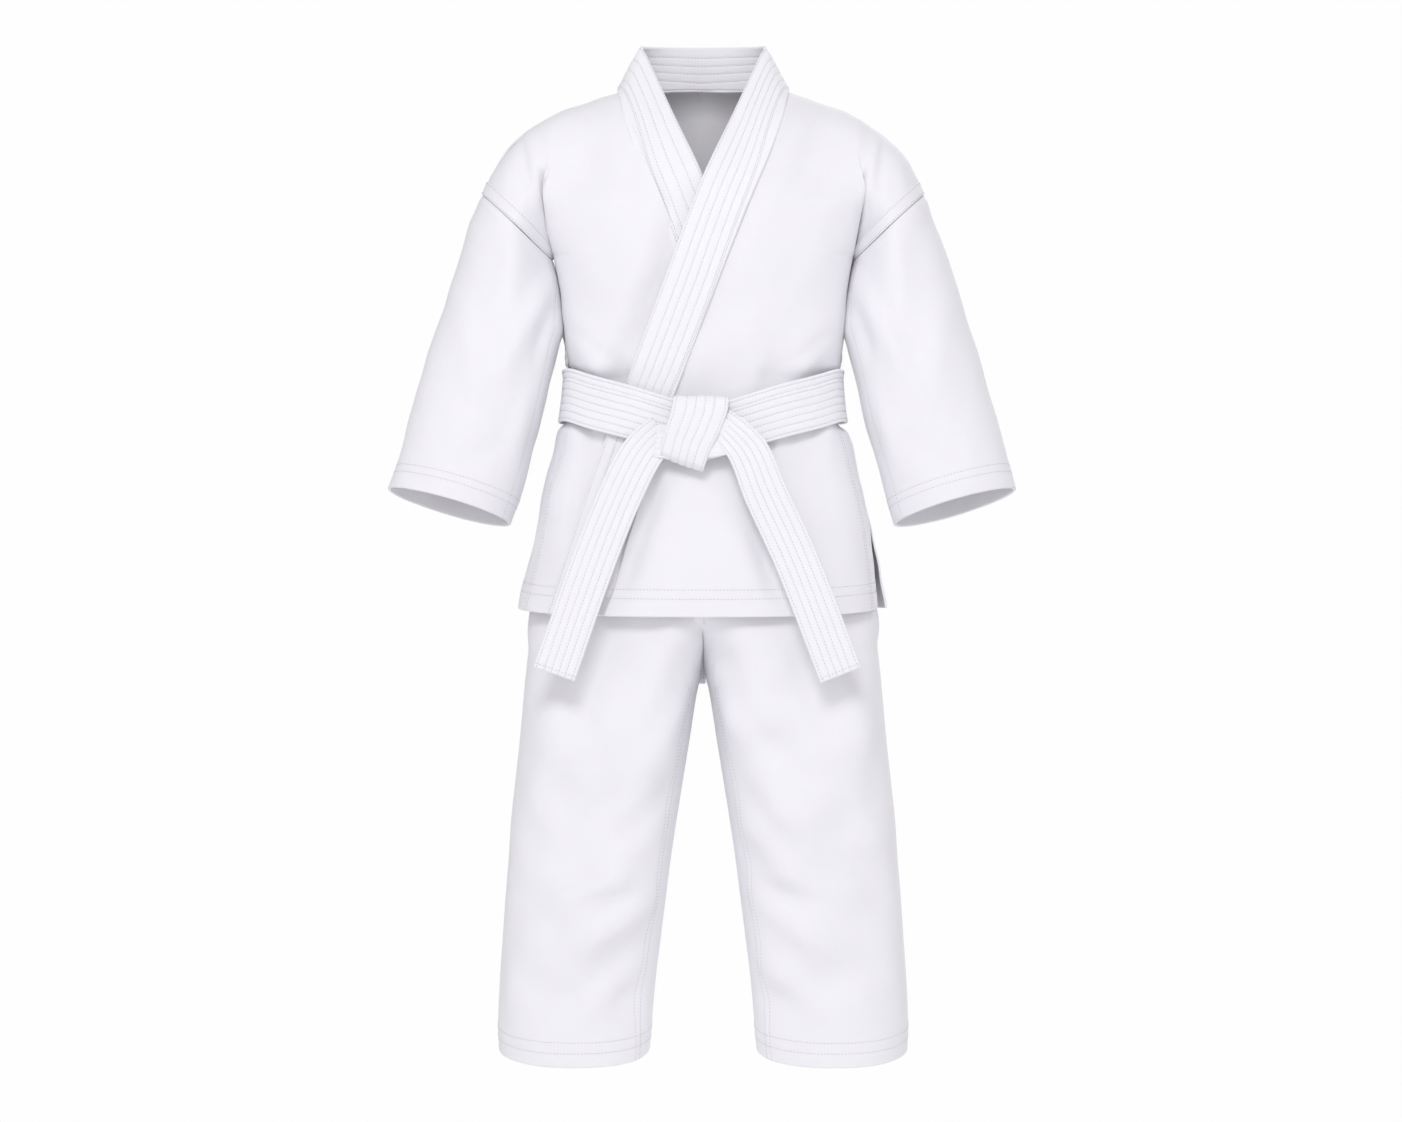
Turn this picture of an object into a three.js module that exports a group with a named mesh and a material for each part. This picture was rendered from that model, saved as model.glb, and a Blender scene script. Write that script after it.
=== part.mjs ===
// A child's martial arts uniform, worn by nobody: wrap jacket, tied belt and trousers.
// Millimetres, +Z up, +X to the wearer's left, -Y to the front. The origin is the middle of
// the shoulder line, inside the neck opening, where a hanger or the wearer carries the jacket.
import * as THREE from "three";

// ---- driving dimensions ----
const cloth = 2; // thickness of one layer of canvas
const seamGap = 0.6; // half the gap between two sewn panels
const beltWidth = 40;
const beltThickness = 3.4;
const lapelThickness = 3.6;
const hemDepth = 26; // height of the turned hems
const neck = {
  halfWidth: 79, edgeHalfWidth: 57, seamDepth: 57, edgeDepth: 48,
  seamZ: 4, edgeTop: 48, backSeam: 12.5, backTop: 51,
};
const shoulder = { x: 145, z: -20 }; // where the sleeve side starts on the shoulder line
const armhole = { top: -20, bottom: -147, depth: 48 };
const cuff = { outer: [287, -367], inner: [177, -397], depth: 44, forward: 30, tilt: 8 };
const dropSeam = { outer: [203, -90], inner: [144, -150], depth: 47, forward: 1 };
const belt = { side: -277, front: -310, innerLift: 6.7, outerLift: 10.8 };
const bodyBottom = -291; // jacket panels end behind the belt, where the skirts begin
const skirtTop = bodyBottom - 1;
const ventTop = -379;
const skirtHem = { side: -475, front: -483 };
const waist = { top: -300, bottom: -334, halfWidth: 108, depth: 58 };
const crotch = -533; // the legs fold here
const trouserHem = -892;

// ---- shapes of the body at a height ----
// The value between two stations follows the straight line that joins them.
function along(stations, at) {
  const last = stations.length - 1;
  const sign = Math.sign(stations[last][0] - stations[0][0]);
  if ((at - stations[0][0]) * sign <= 0) return stations[0][1];
  for (let i = 0; i < last; i++) {
    const [a, va] = stations[i];
    const [b, vb] = stations[i + 1];
    if ((at - b) * sign <= 0) return va + ((vb - va) * (at - a)) / (b - a);
  }
  return stations[last][1];
}

const torsoHalfWidth = [[0, 145], [-100, 142], [-150, 136.5], [-217, 130.5], [-248, 119],
  [-300, 122], [-318, 134], [-338, 140.5], [-375, 149], [-412, 156.5], [-440, 162.5], [-475, 170.5]];
const torsoFront = [[20, 66], [-40, 72], [-100, 80], [-160, 84], [-217, 80], [-280, 75], [-320, 77],
  [-400, 88], [-480, 94]];
const torsoBack = [[20, 66], [-40, 74], [-100, 78], [-160, 78], [-217, 73], [-280, 69], [-320, 72],
  [-400, 84], [-480, 92]];
const ridgeLine = [[0, 26], [45, 17], [neck.halfWidth, 5], [91, 1], [112, -7], [131, -14],
  [shoulder.x, shoulder.z]];
const sideRoundness = 2.7; // exponent of the torso's section

const quarter = (h) => Math.sqrt(1 - (1 - Math.min(Math.max(h, 0), 1)) ** 2);

// Depth of the jacket at share s of its half width and at height z, in front (-1) or behind (+1).
function bodyDepth(face, s, z, x) {
  const chest = along(face < 0 ? torsoFront : torsoBack, z);
  const middle = (armhole.top + armhole.bottom) / 2;
  const rise = (armhole.top - armhole.bottom) / 2;
  const edge = armhole.depth * Math.sqrt(Math.max(0, 1 - ((z - middle) / rise) ** 2));
  const rounding = quarter((along(ridgeLine, x) - z) / rise);
  const slope = along([[-70, 0.3], [-130, 0.06]], z);
  const full = Math.max(edge, chest * (1 - slope * s * s) * rounding);
  return edge + (full - edge) * (1 - Math.min(s, 1) ** sideRoundness) ** (1 / sideRoundness);
}

function bodyPoint(side, face, x, z, inset = 0) {
  const half = along(torsoHalfWidth, z) - inset;
  const reach = Math.min(Math.abs(x), half);
  const depth = Math.max(0, bodyDepth(face, reach / half, z, reach) - inset);
  return new THREE.Vector3(side * reach * Math.sign(x || 1), face * (seamGap + depth), z);
}

// ---- closed solids from rows of points ----
// rows[i][j] lies on the middle of a sheet, which is thickened to both sides. A closed sheet joins
// the end of each row to its start.
function sheet(rows, thickness, closed = false) {
  const high = rows.length;
  const wide = rows[0].length;
  const normal = (i, j) => {
    const left = closed ? (j + wide - 1) % wide : Math.max(j - 1, 0);
    const right = closed ? (j + 1) % wide : Math.min(j + 1, wide - 1);
    const across = rows[i][right].clone().sub(rows[i][left]);
    const up = rows[Math.min(i + 1, high - 1)][j].clone().sub(rows[Math.max(i - 1, 0)][j]);
    return across.cross(up).normalize();
  };
  const points = [];
  for (const half of [thickness / 2, -thickness / 2])
    rows.forEach((row, i) => row.forEach((p, j) => points.push(p.clone().addScaledVector(normal(i, j), half))));
  const at = (i, j, layer) => layer * high * wide + i * wide + (closed ? j % wide : j);
  const index = [];
  const quad = (a, b, c, d) => index.push(a, b, c, a, c, d);
  const steps = closed ? wide : wide - 1;
  for (let i = 0; i < high - 1; i++)
    for (let j = 0; j < steps; j++) {
      quad(at(i, j, 0), at(i, j + 1, 0), at(i + 1, j + 1, 0), at(i + 1, j, 0));
      quad(at(i, j, 1), at(i + 1, j, 1), at(i + 1, j + 1, 1), at(i, j + 1, 1));
    }
  for (let j = 0; j < steps; j++) {
    quad(at(0, j, 0), at(0, j, 1), at(0, j + 1, 1), at(0, j + 1, 0));
    quad(at(high - 1, j, 0), at(high - 1, j + 1, 0), at(high - 1, j + 1, 1), at(high - 1, j, 1));
  }
  if (!closed)
    for (let i = 0; i < high - 1; i++) {
      quad(at(i, 0, 0), at(i + 1, 0, 0), at(i + 1, 0, 1), at(i, 0, 1));
      quad(at(i, wide - 1, 0), at(i, wide - 1, 1), at(i + 1, wide - 1, 1), at(i + 1, wide - 1, 0));
    }
  return solid(points, index);
}

// A geometry whose faces point out.
function solid(points, index) {
  let volume = 0;
  for (let i = 0; i < index.length; i += 3)
    volume += points[index[i]].dot(points[index[i + 1]].clone().cross(points[index[i + 2]]));
  if (volume < 0) index.reverse();
  return new THREE.BufferGeometry().setFromPoints(points).setIndex(index);
}

const mix = (a, b, t) => a + (b - a) * t;
const steps = (n) => Array.from({ length: n + 1 }, (_, i) => i / n);
const eased = (n) => steps(n).map((t) => Math.sin((t * Math.PI) / 2)); // closer together near the end

// ---- materials ----
const canvas = () => new THREE.MeshStandardMaterial({ color: 0xf3f3f7, roughness: 0.9, metalness: 0 });
const quilted = () => new THREE.MeshStandardMaterial({ color: 0xf7f7fa, roughness: 0.85, metalness: 0 });
const elastic = () => new THREE.MeshStandardMaterial({ color: 0xe9e9ec, roughness: 0.95, metalness: 0 });

const uniform = new THREE.Group();
function add(name, geometry, material = canvas()) {
  const mesh = new THREE.Mesh(geometry, material);
  mesh.name = name;
  uniform.add(mesh);
}

// ---- jacket body ----
// The lapel's seam and leading edge cross the front from the wearer's left shoulder to the
// right hip; the hidden one mirrors them. x is given for the height z.
const lapelSeam = [[4, 78], [-18, 74], [-44, 66], [-117, 36], [-284, -28], [-420, -77], [-490, -104]];
const lapelEdge = [[48, 57], [-77, 0], [-275, -73.5], [-320, -90], [-490, -145]];
const lapelClearance = 2.4; // between a lapel's seam edge and the panel it is sewn to
const underInset = 5.2; // the hidden front lies this far inside the outer one
const seamTopZ = -1; // height of the panels' corner beside the neck

// A front panel above the belt: from the lapel's seam to the side, and up to the shoulder line.
function frontPanel(side, inset) {
  const columns = eased(9);
  return sheet(eased(11).map((v) => {
    const seamZ = mix(bodyBottom, seamTopZ, v);
    const outerZ = mix(bodyBottom, shoulder.z, v);
    const seamX = along(lapelSeam, seamZ) + lapelClearance;
    const outerX = along(torsoHalfWidth, outerZ);
    return columns.map((u) => {
      const x = mix(seamX, outerX, u);
      const ridge = along(ridgeLine, x);
      const straight = mix(seamZ, outerZ, u);
      const z = Math.min(ridge, straight + v ** 6 * (ridge - mix(seamTopZ, shoulder.z, u)));
      const point = bodyPoint(1, -1, x, z, inset);
      point.x *= side;
      return point;
    });
  }), cloth);
}
add("left_front_panel", frontPanel(1, 1));
add("right_front_panel", frontPanel(-1, underInset));

// Half of the back: from the centre seam to the side, up to the neck and the shoulder line.
function backPanel(side) {
  return sheet(eased(11).map((v) => eased(9).map((u) => {
    const topX = mix(0, shoulder.x, u);
    const neckline = topX < neck.halfWidth
      ? mix(neck.backSeam - 6, seamTopZ, topX / neck.halfWidth)
      : mix(seamTopZ, shoulder.z, (topX - neck.halfWidth) / (shoulder.x - neck.halfWidth));
    const shortfall = Math.max(0, along(ridgeLine, topX) - neckline) * (topX < neck.halfWidth ? 0 : 1);
    const straight = mix(bodyBottom, neckline, v) + shortfall * v ** 6;
    const x = Math.max(seamGap, u * mix(along(torsoHalfWidth, straight), shoulder.x, v ** 6));
    const point = bodyPoint(1, 1, x, straight, 1);
    point.x = side * Math.max(point.x, seamGap);
    return point;
  })), cloth);
}
add("left_back_panel", backPanel(1));
add("right_back_panel", backPanel(-1));

// ---- collar: two lapels and the standing band behind the neck ----
function lapelPoint(side, z, x, lift) {
  const point = bodyPoint(1, -1, Math.abs(x), z, -lift);
  point.x = side * x;
  return point;
}
function lapel(side, lift, bottom) {
  const seam = (t) => {
    const z = mix(neck.seamZ - 1, bottom, t);
    return lapelPoint(side, z, along(lapelSeam, z), lift);
  };
  const edge = (t) => {
    const z = mix(neck.edgeTop, bottom, t);
    const x = along(lapelEdge, z);
    const point = lapelPoint(side, Math.min(z, -77), x, lift);
    const standing = Math.max(0, Math.min(1, (z + 77) / (neck.edgeTop + 77)));
    point.z = z;
    point.y = mix(point.y, -2, standing ** 1.1);
    return point;
  };
  return sheet(steps(12).map((t) => steps(3).map((u) => {
    const point = seam(t).lerp(edge(t), u);
    if (t > 0.36) point.y = lapelPoint(side, point.z, point.x * side, lift).y;
    return point;
  })), lapelThickness);
}
add("left_lapel", lapel(1, 1.8, bodyBottom), quilted());
add("right_lapel", lapel(-1, -5.2 - 1.2, bodyBottom), quilted());

// The band stands up from the back neckline and meets the lapels beside the neck. Each edge of it
// runs round the back of the neck from one side to the other.
function neckCurve(halfWidth, depth, sideZ, backZ) {
  const [x, y, z] = [0.81 * halfWidth, 0.65 * depth, mix(sideZ, backZ, 0.35)];
  return new THREE.CatmullRomCurve3([
    [-halfWidth, 1.5, sideZ], [-x, y, z], [0, depth, backZ], [x, y, z], [halfWidth, 1.5, sideZ],
  ].map((p) => new THREE.Vector3(...p)));
}
function neckBand() {
  const seam = neckCurve(neck.halfWidth, neck.seamDepth, neck.seamZ, neck.backSeam);
  const edge = neckCurve(neck.edgeHalfWidth, neck.edgeDepth, neck.edgeTop, neck.backTop);
  const rows = steps(14).map((t) => steps(2).map((u) => seam.getPoint(t).lerp(edge.getPoint(t), u)));
  return sheet(rows, lapelThickness);
}
add("neck_band", neckBand(), quilted());

// ---- sleeves ----
// A tube is a family of rings. Each ring joins an inner and an outer point of the front view and
// bulges to the front and back; half of it is the front panel and half the back panel.
const sleeveRings = [
  { outer: [shoulder.x + 3, shoulder.z - 1.5], inner: [140.5, -143], depth: armhole.depth - 2, forward: 0 },
  { outer: [180, -47], inner: [142, -147], depth: 48, forward: 0 },
  dropSeam,
  { outer: [226, -152], inner: [136.5, -195], depth: 47, forward: 6 },
  { outer: [240, -197], inner: [135.5, -228], depth: 47, forward: 11 },
  { outer: [257, -250], inner: [148, -280], depth: 46, forward: 16 },
  cuff,
];
function ringPoint(ring, angle, half = 0) {
  const centre = new THREE.Vector2(...ring.outer).add(new THREE.Vector2(...ring.inner)).multiplyScalar(0.5);
  const across = new THREE.Vector2(...ring.outer).sub(centre);
  const swing = Math.cos(angle);
  const point = centre.clone().addScaledVector(across, swing * (1 + half / across.length()));
  const depth = -ring.forward - Math.sin(angle) * (ring.depth + half);
  return new THREE.Vector3(point.x, depth, point.y + Math.sin(angle) * (ring.tilt || 0));
}
function ringBetween(rings, t) {
  const k = Math.min(Math.floor(t), rings.length - 2);
  const f = t - k;
  const [a, b] = [rings[k], rings[k + 1]];
  const pair = (name) => [mix(a[name][0], b[name][0], f), mix(a[name][1], b[name][1], f)];
  return {
    outer: pair("outer"), inner: pair("inner"), depth: mix(a.depth, b.depth, f),
    forward: mix(a.forward, b.forward, f), tilt: mix(a.tilt || 0, b.tilt || 0, f),
  };
}
function halfTube(side, face, from, to, rows, outwards = 0) {
  const slack = 0.02; // keeps the front and back halves apart at the seams
  return sheet(steps(rows).map((v) => {
    const ring = ringBetween(sleeveRings, mix(from, to, v));
    return steps(8).map((u) => {
      const point = ringPoint(ring, -face * mix(slack, Math.PI - slack, u), outwards);
      point.x *= side;
      return point;
    });
  }), cloth);
}
function tubeBand(side, from, to, outwards, thickness) {
  return sheet([from, (from + to) / 2, to].map((t) => {
    const ring = ringBetween(sleeveRings, t);
    return steps(16).slice(0, 16).map((u) => {
      const point = ringPoint(ring, u * 2 * Math.PI, outwards);
      point.x *= side;
      return point;
    });
  }), thickness, true);
}
for (const [name, side] of [["left", 1], ["right", -1]]) {
  for (const [half, face] of [["front", -1], ["back", 1]]) {
    add(`${name}_shoulder_cap_${half}`, halfTube(side, face, 0, 1.98, 4));
    add(`${name}_sleeve_${half}`, halfTube(side, face, 2.06, 5.76, 6));
  }
  add(`${name}_armhole_seam`, tubeBand(side, 1.84, 1.96, 2.2, 1.4), quilted());
  add(`${name}_cuff_hem`, tubeBand(side, 5.78, 6, 0.4, 3.2));
}

// ---- skirts of the jacket, below the belt ----
// A section of the skirt between two angles, measured from the wearer's left side round the front.
function skirtRow(fromAngle, toAngle, z, inset, columns, hemDrop = 0) {
  const half = along(torsoHalfWidth, z) - inset;
  return steps(columns).map((u) => {
    const angle = mix(fromAngle, toAngle, u);
    const face = Math.sin(angle) > 0 ? -1 : 1;
    const depth = along(face < 0 ? torsoFront : torsoBack, z) - inset;
    const power = 2 / sideRoundness;
    const x = half * Math.sign(Math.cos(angle)) * Math.abs(Math.cos(angle)) ** power;
    const y = face * depth * Math.abs(Math.sin(angle)) ** power;
    return new THREE.Vector3(x, y, z - hemDrop * Math.max(0, Math.sin(angle)));
  });
}
// The angle at which the skirt's front has a given x.
function angleAt(x, z, inset) {
  const share = Math.max(-1, Math.min(1, x / (along(torsoHalfWidth, z) - inset)));
  return Math.acos(Math.sign(share) * Math.abs(share) ** (sideRoundness / 2));
}
const sideSlack = 0.03; // radians between the skirts at the side seams
function frontSkirt(side, top, bottom, inset, reach) {
  return sheet(steps(4).map((v) => {
    const z = mix(top, bottom, v);
    const last = angleAt(reach(z), z, inset);
    const row = skirtRow(sideSlack, last, z, inset, 12, bottom < ventTop ? v * hemDip : 0);
    return row.map((p) => p.setX(p.x * side));
  }), cloth);
}
function backSkirt(side, top, bottom) {
  return sheet(steps(4).map((v) => {
    const row = skirtRow(-sideSlack, -Math.PI / 2 + 0.008, mix(top, bottom, v), 1, 9);
    return row.map((p) => p.setX(p.x * side));
  }), cloth);
}
const outerReach = (z) => along(lapelSeam, z) + lapelClearance;
const underReach = () => -60;
add("left_front_skirt", frontSkirt(1, skirtTop, ventTop + 1, 1, outerReach));
add("right_front_skirt", frontSkirt(-1, skirtTop, ventTop + 1, underInset, underReach));
add("left_back_skirt", backSkirt(1, skirtTop, ventTop + 1));
add("right_back_skirt", backSkirt(-1, skirtTop, ventTop + 1));
const flapHem = skirtHem.side + hemDepth;
const hemDip = skirtHem.side - skirtHem.front; // the hem hangs lower at the middle of the front
add("left_front_flap", frontSkirt(1, ventTop - 1, flapHem, 1, outerReach));
add("right_front_flap", frontSkirt(-1, ventTop - 1, flapHem, underInset, underReach));
add("left_back_flap", backSkirt(1, ventTop - 1, flapHem));
add("right_back_flap", backSkirt(-1, ventTop - 1, flapHem));

// The leading edge's lapel goes on below the belt, as far as the hem.
function lapelStrip(top, bottom) {
  return sheet(steps(5).map((v) => {
    const z = mix(top, bottom, v);
    const from = angleAt(along(lapelSeam, z), z, -1);
    const to = angleAt(along(lapelEdge, z), z, -1);
    return skirtRow(from, to, z, -1, 3);
  }), lapelThickness - 0.8);
}
add("left_lapel_waist", lapelStrip(skirtTop, ventTop + 1), quilted());
add("left_lapel_end", lapelStrip(ventTop - 1, skirtHem.front + 1), quilted());

// Turned hems of the flaps.
function flapHemBand(face, side, inset, reach) {
  return sheet([flapHem - 1, (flapHem + skirtHem.side) / 2, skirtHem.side].map((z) => {
    const last = face < 0 ? angleAt(reach(z), z, inset) : -Math.PI / 2 + 0.008;
    const row = skirtRow(-face * sideSlack, last, z, inset, 12, face < 0 ? hemDip : 0);
    return row.map((p) => p.setX(p.x * side));
  }), cloth + 0.8);
}
add("left_front_hem", flapHemBand(-1, 1, 1, outerReach));
add("right_front_hem", flapHemBand(-1, -1, underInset + 0.4, underReach));
add("left_back_hem", flapHemBand(1, 1, 1));
add("right_back_hem", flapHemBand(1, -1, 1));

// ---- belt ----
function beltRing(outwards, low) {
  return sheet([0.5, 0.17, -0.17, -0.5].map((share) => steps(40).slice(0, 40).map((u) => {
    const angle = u * 2 * Math.PI;
    const frontness = Math.sin(angle) > 0 ? 1 - Math.abs(Math.cos(angle)) ** 0.75 : 0;
    const z = mix(belt.side, belt.front, frontness) + share * beltWidth - low;
    const point = skirtRow(angle, angle, z, -outwards, 1)[0];
    return point.setZ(z);
  })), beltThickness, true);
}
add("belt_inner_wrap", beltRing(belt.innerLift, -2), quilted());
add("belt_outer_wrap", beltRing(belt.outerLift, 3), quilted());

// The knot: a turn of the belt wraps the core from top to bottom, and the tails leave below it.
function strap(path, width, thickness, rows) {
  return sheet(path.map(({ centre, across }) => {
    const direction = new THREE.Vector3(...across).normalize();
    return steps(rows).map((u) => new THREE.Vector3(...centre).addScaledVector(direction, (u - 0.5) * width));
  }), thickness);
}
const knotFace = -(along(torsoFront, belt.front - beltWidth / 2) + belt.outerLift + beltThickness / 2);
add("belt_knot_core", strap([
  { centre: [-44, knotFace - 4.2, -316], across: [0.2, 0, 1] },
  { centre: [-15, knotFace - 4.2, -315], across: [0.1, 0, 1] },
  { centre: [15, knotFace - 4.2, -315], across: [-0.1, 0, 1] },
  { centre: [44, knotFace - 4.2, -315], across: [-0.2, 0, 1] },
], 30, 6, 2), quilted());
add("belt_knot_wrap", strap([
  { centre: [2, knotFace - 4, -284], across: [1, 0, 0.02] },
  { centre: [1, knotFace - 11, -289], across: [1, 0, 0.02] },
  { centre: [-4, knotFace - 12.5, -305], across: [1, 0, -0.1] },
  { centre: [-9, knotFace - 12.5, -322], across: [1, 0, -0.2] },
  { centre: [-12, knotFace - 11, -338], across: [1, 0, -0.24] },
  { centre: [-12, knotFace - 4, -344], across: [1, 0, -0.24] },
], 48, 4, 3), quilted());

// Each tail leaves the knot, lies over the front skirt and ends in a square cut.
const tailLine = {
  left: [[42, -331], [56, -367], [84, -428], [126, -536]],
  right: [[-57, -331], [-70, -358], [-94, -415], [-136.5, -535]],
};
for (const [name, side] of [["left", 1], ["right", -1]]) {
  const curve = new THREE.CatmullRomCurve3(tailLine[name].map(([x, z]) => new THREE.Vector3(x, 0, z)));
  const station = (t) => {
    const centre = curve.getPointAt(t);
    const tangent = curve.getTangentAt(t);
    const y = mix(knotFace - 9, -(along(torsoFront, skirtHem.front) + 9), t);
    return { centre: [centre.x, y, centre.z], across: [-tangent.z, 0, tangent.x] };
  };
  add(`${name}_tail_root`, strap([0, 0.06, 0.12].map(station), beltWidth, beltThickness, 2), quilted());
  const below = steps(7).map((t) => station(mix(0.135, 1, t)));
  add(`${name}_belt_tail`, strap(below, beltWidth, beltThickness, 2), quilted());
}

// ---- ties that hold the two fronts at the waist, under the belt ----
const tie = { width: 12, thickness: 1.2, outerLift: 1.8, innerLift: -4.4, edgeX: -86, sideAngle: 0.12 };
// A tie lies flat between the side seam and the leading edge of the front that it holds.
function waistTie(side, z, lift) {
  return sheet([0.5, -0.5].map((share) => {
    const height = z + share * tie.width;
    const from = angleAt(tie.edgeX, height, -lift);
    return skirtRow(from, Math.PI - tie.sideAngle, height, -lift, 4).map((p) => p.setX(p.x * side));
  }), tie.thickness);
}
add("left_outer_tie", waistTie(1, -271, tie.outerLift));
add("right_outer_tie", waistTie(1, -287, tie.outerLift));
add("right_inner_tie", waistTie(-1, -271, tie.innerLift));
add("left_inner_tie", waistTie(-1, -287, tie.innerLift));

// ---- trousers ----
const hipHalfWidth = [[waist.top, waist.halfWidth], [waist.bottom, waist.halfWidth + 2], [-379, 127],
  [-430, 140], [-484, 157], [crotch, 163]];
const hipFront = [[waist.top, waist.depth], [waist.bottom, 62], [-379, 72], [-430, 78], [-500, 81],
  [crotch, 80]];
const hipBack = [[waist.top, waist.depth], [waist.bottom, 60], [-379, 70], [-430, 77], [-500, 80],
  [crotch, 78]];
const legRings = [
  { z: crotch, outer: 163, inner: 4, front: 80, back: 78 },
  { z: -598, outer: 169, inner: 14, front: 78, back: 76 },
  { z: -672, outer: 177, inner: 26, front: 74, back: 73 },
  { z: -747, outer: 182.5, inner: 36, front: 70, back: 70 },
  { z: -821, outer: 187.5, inner: 45.5, front: 67, back: 67 },
  { z: trouserHem, outer: 189, inner: 52, front: 65, back: 65 },
];
const trouserRoundness = 2.4;
function section(centre, half, depth, angle, face, z) {
  const power = 2 / trouserRoundness;
  const x = centre + half * Math.sign(Math.cos(angle)) * Math.abs(Math.cos(angle)) ** power;
  return new THREE.Vector3(x, face * (seamGap + depth * Math.abs(Math.sin(angle)) ** power), z);
}
// Half of the hips: the front or back from the centre seam to the side, down to the crotch.
function hipPanel(side, face) {
  return sheet(steps(7).map((v) => {
    const z = mix(waist.bottom - 1, crotch, v);
    const depth = along(face < 0 ? hipFront : hipBack, z) - 1;
    return steps(8).map((u) => {
      const point = section(0, along(hipHalfWidth, z) - 1, depth, mix(Math.PI / 2 - 0.008, 0, u), face, z);
      return point.setX(side * Math.max(point.x, seamGap));
    });
  }), cloth);
}
function legRow(side, face, z, outwards, columns) {
  const at = (name) => along(legRings.map((ring) => [ring.z, ring[name]]), z);
  const centre = (at("outer") + at("inner")) / 2;
  const half = (at("outer") - at("inner")) / 2 + outwards;
  const depth = at(face < 0 ? "front" : "back") + outwards;
  return steps(columns).map((u) => {
    const point = section(centre, half, depth, mix(Math.PI, 0, u), face, z);
    return point.setX(side * point.x);
  });
}
function legPanel(side, face) {
  const bottom = trouserHem + hemDepth + 0.6;
  return sheet(steps(6).map((v) => legRow(side, face, mix(crotch - 1.2, bottom, v), -1, 10)), cloth);
}
function closedLegRow(side, z, outwards) {
  const front = legRow(side, -1, z, outwards, 8);
  const back = legRow(side, 1, z, outwards, 8).reverse();
  return [...front.slice(0, 8), ...back.slice(0, 8)].map((p, i) => (i % 8 ? p : p.setY(0)));
}
for (const [name, side] of [["left", 1], ["right", -1]]) {
  for (const [half, face] of [["front", -1], ["back", 1]]) {
    add(`${name}_hip_${half}`, hipPanel(side, face));
    add(`${name}_leg_${half}`, legPanel(side, face));
  }
  const hemRows = [trouserHem + hemDepth, trouserHem + hemDepth / 2, trouserHem];
  add(`${name}_leg_hem`, sheet(hemRows.map((z) => closedLegRow(side, z, -0.4)), 3.2, true));
}

// The casing holds the elastic, which gathers the waist.
function waistLoop(inset, thickness, heights) {
  return sheet(heights.map((z) => steps(32).slice(0, 32).map((u) => {
    const angle = u * 2 * Math.PI;
    const half = along(hipHalfWidth, z) - inset;
    const depth = along(hipFront, z) - inset;
    const power = 2 / trouserRoundness;
    return new THREE.Vector3(
      half * Math.sign(Math.cos(angle)) * Math.abs(Math.cos(angle)) ** power,
      -depth * Math.sign(Math.sin(angle)) * Math.abs(Math.sin(angle)) ** power, z);
  })), thickness, true);
}
add("waistband_casing", waistLoop(1, cloth, [waist.top, waist.bottom]));
add("waist_elastic", waistLoop(3.6, 1.6, [waist.top - 4, waist.bottom + 4]), elastic());
add("waistband_lining", waistLoop(6.2, cloth, [waist.top, waist.bottom]));

// The gusset closes the crotch between the two thighs.
add("crotch_gusset", sheet([-1, -0.5, 0, 0.5, 1].map((v) => [-1, 0, 1].map((u) =>
  new THREE.Vector3(u * (6.4 - 3 * Math.abs(v)), v * 72, crotch + 6 - 3 * v * v))), cloth), quilted());

export default uniform;
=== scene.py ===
import math
import bpy
import numpy as np
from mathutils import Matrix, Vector


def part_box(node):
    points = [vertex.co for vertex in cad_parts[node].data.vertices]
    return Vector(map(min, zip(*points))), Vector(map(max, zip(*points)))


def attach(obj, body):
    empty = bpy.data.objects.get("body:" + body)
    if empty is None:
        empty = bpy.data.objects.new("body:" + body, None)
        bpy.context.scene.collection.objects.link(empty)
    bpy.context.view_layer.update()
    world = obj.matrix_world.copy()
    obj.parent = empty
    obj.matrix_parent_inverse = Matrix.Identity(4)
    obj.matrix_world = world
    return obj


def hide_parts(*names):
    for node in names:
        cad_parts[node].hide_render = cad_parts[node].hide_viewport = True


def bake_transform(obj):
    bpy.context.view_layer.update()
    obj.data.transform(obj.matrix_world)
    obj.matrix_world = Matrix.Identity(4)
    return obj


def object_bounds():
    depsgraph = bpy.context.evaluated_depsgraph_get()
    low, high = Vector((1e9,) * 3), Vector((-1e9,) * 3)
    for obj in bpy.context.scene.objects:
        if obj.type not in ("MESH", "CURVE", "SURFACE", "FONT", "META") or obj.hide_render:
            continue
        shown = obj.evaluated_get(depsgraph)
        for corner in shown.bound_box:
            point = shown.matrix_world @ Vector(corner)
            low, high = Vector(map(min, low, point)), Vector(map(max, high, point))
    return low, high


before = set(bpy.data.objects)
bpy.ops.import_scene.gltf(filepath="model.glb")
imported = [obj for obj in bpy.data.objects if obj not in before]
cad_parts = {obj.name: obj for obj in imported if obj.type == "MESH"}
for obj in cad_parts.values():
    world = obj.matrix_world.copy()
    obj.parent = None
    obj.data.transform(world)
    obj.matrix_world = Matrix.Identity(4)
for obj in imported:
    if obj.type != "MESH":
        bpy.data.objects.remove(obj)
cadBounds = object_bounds()
print("frame loaded")


# Lengths are in millimetres until a mesh is made.
def ease(stations, at):  # smooth curve through the stations that never overshoots them
    table = np.array(sorted(stations), float)
    x, y = table[:, 0], table[:, 1]
    run = np.diff(x)
    rate = np.diff(y) / run
    product = rate[1:] * rate[:-1]
    total = np.where(product > 0, rate[1:] + rate[:-1], 1)
    inner = np.where(product > 0, 2 * product / total, 0)
    slope = np.concatenate([rate[:1], inner, rate[-1:]])
    at = np.clip(at, x[0], x[-1])
    k = np.clip(np.searchsorted(x, at, side="right") - 1, 0, len(x) - 2)
    t = (at - x[k]) / run[k]
    return (y[k] * (1 + 2 * t) * (1 - t) ** 2 + slope[k] * run[k] * t * (1 - t) ** 2
            + y[k + 1] * t * t * (3 - 2 * t) - slope[k + 1] * run[k] * t * t * (1 - t))


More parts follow.
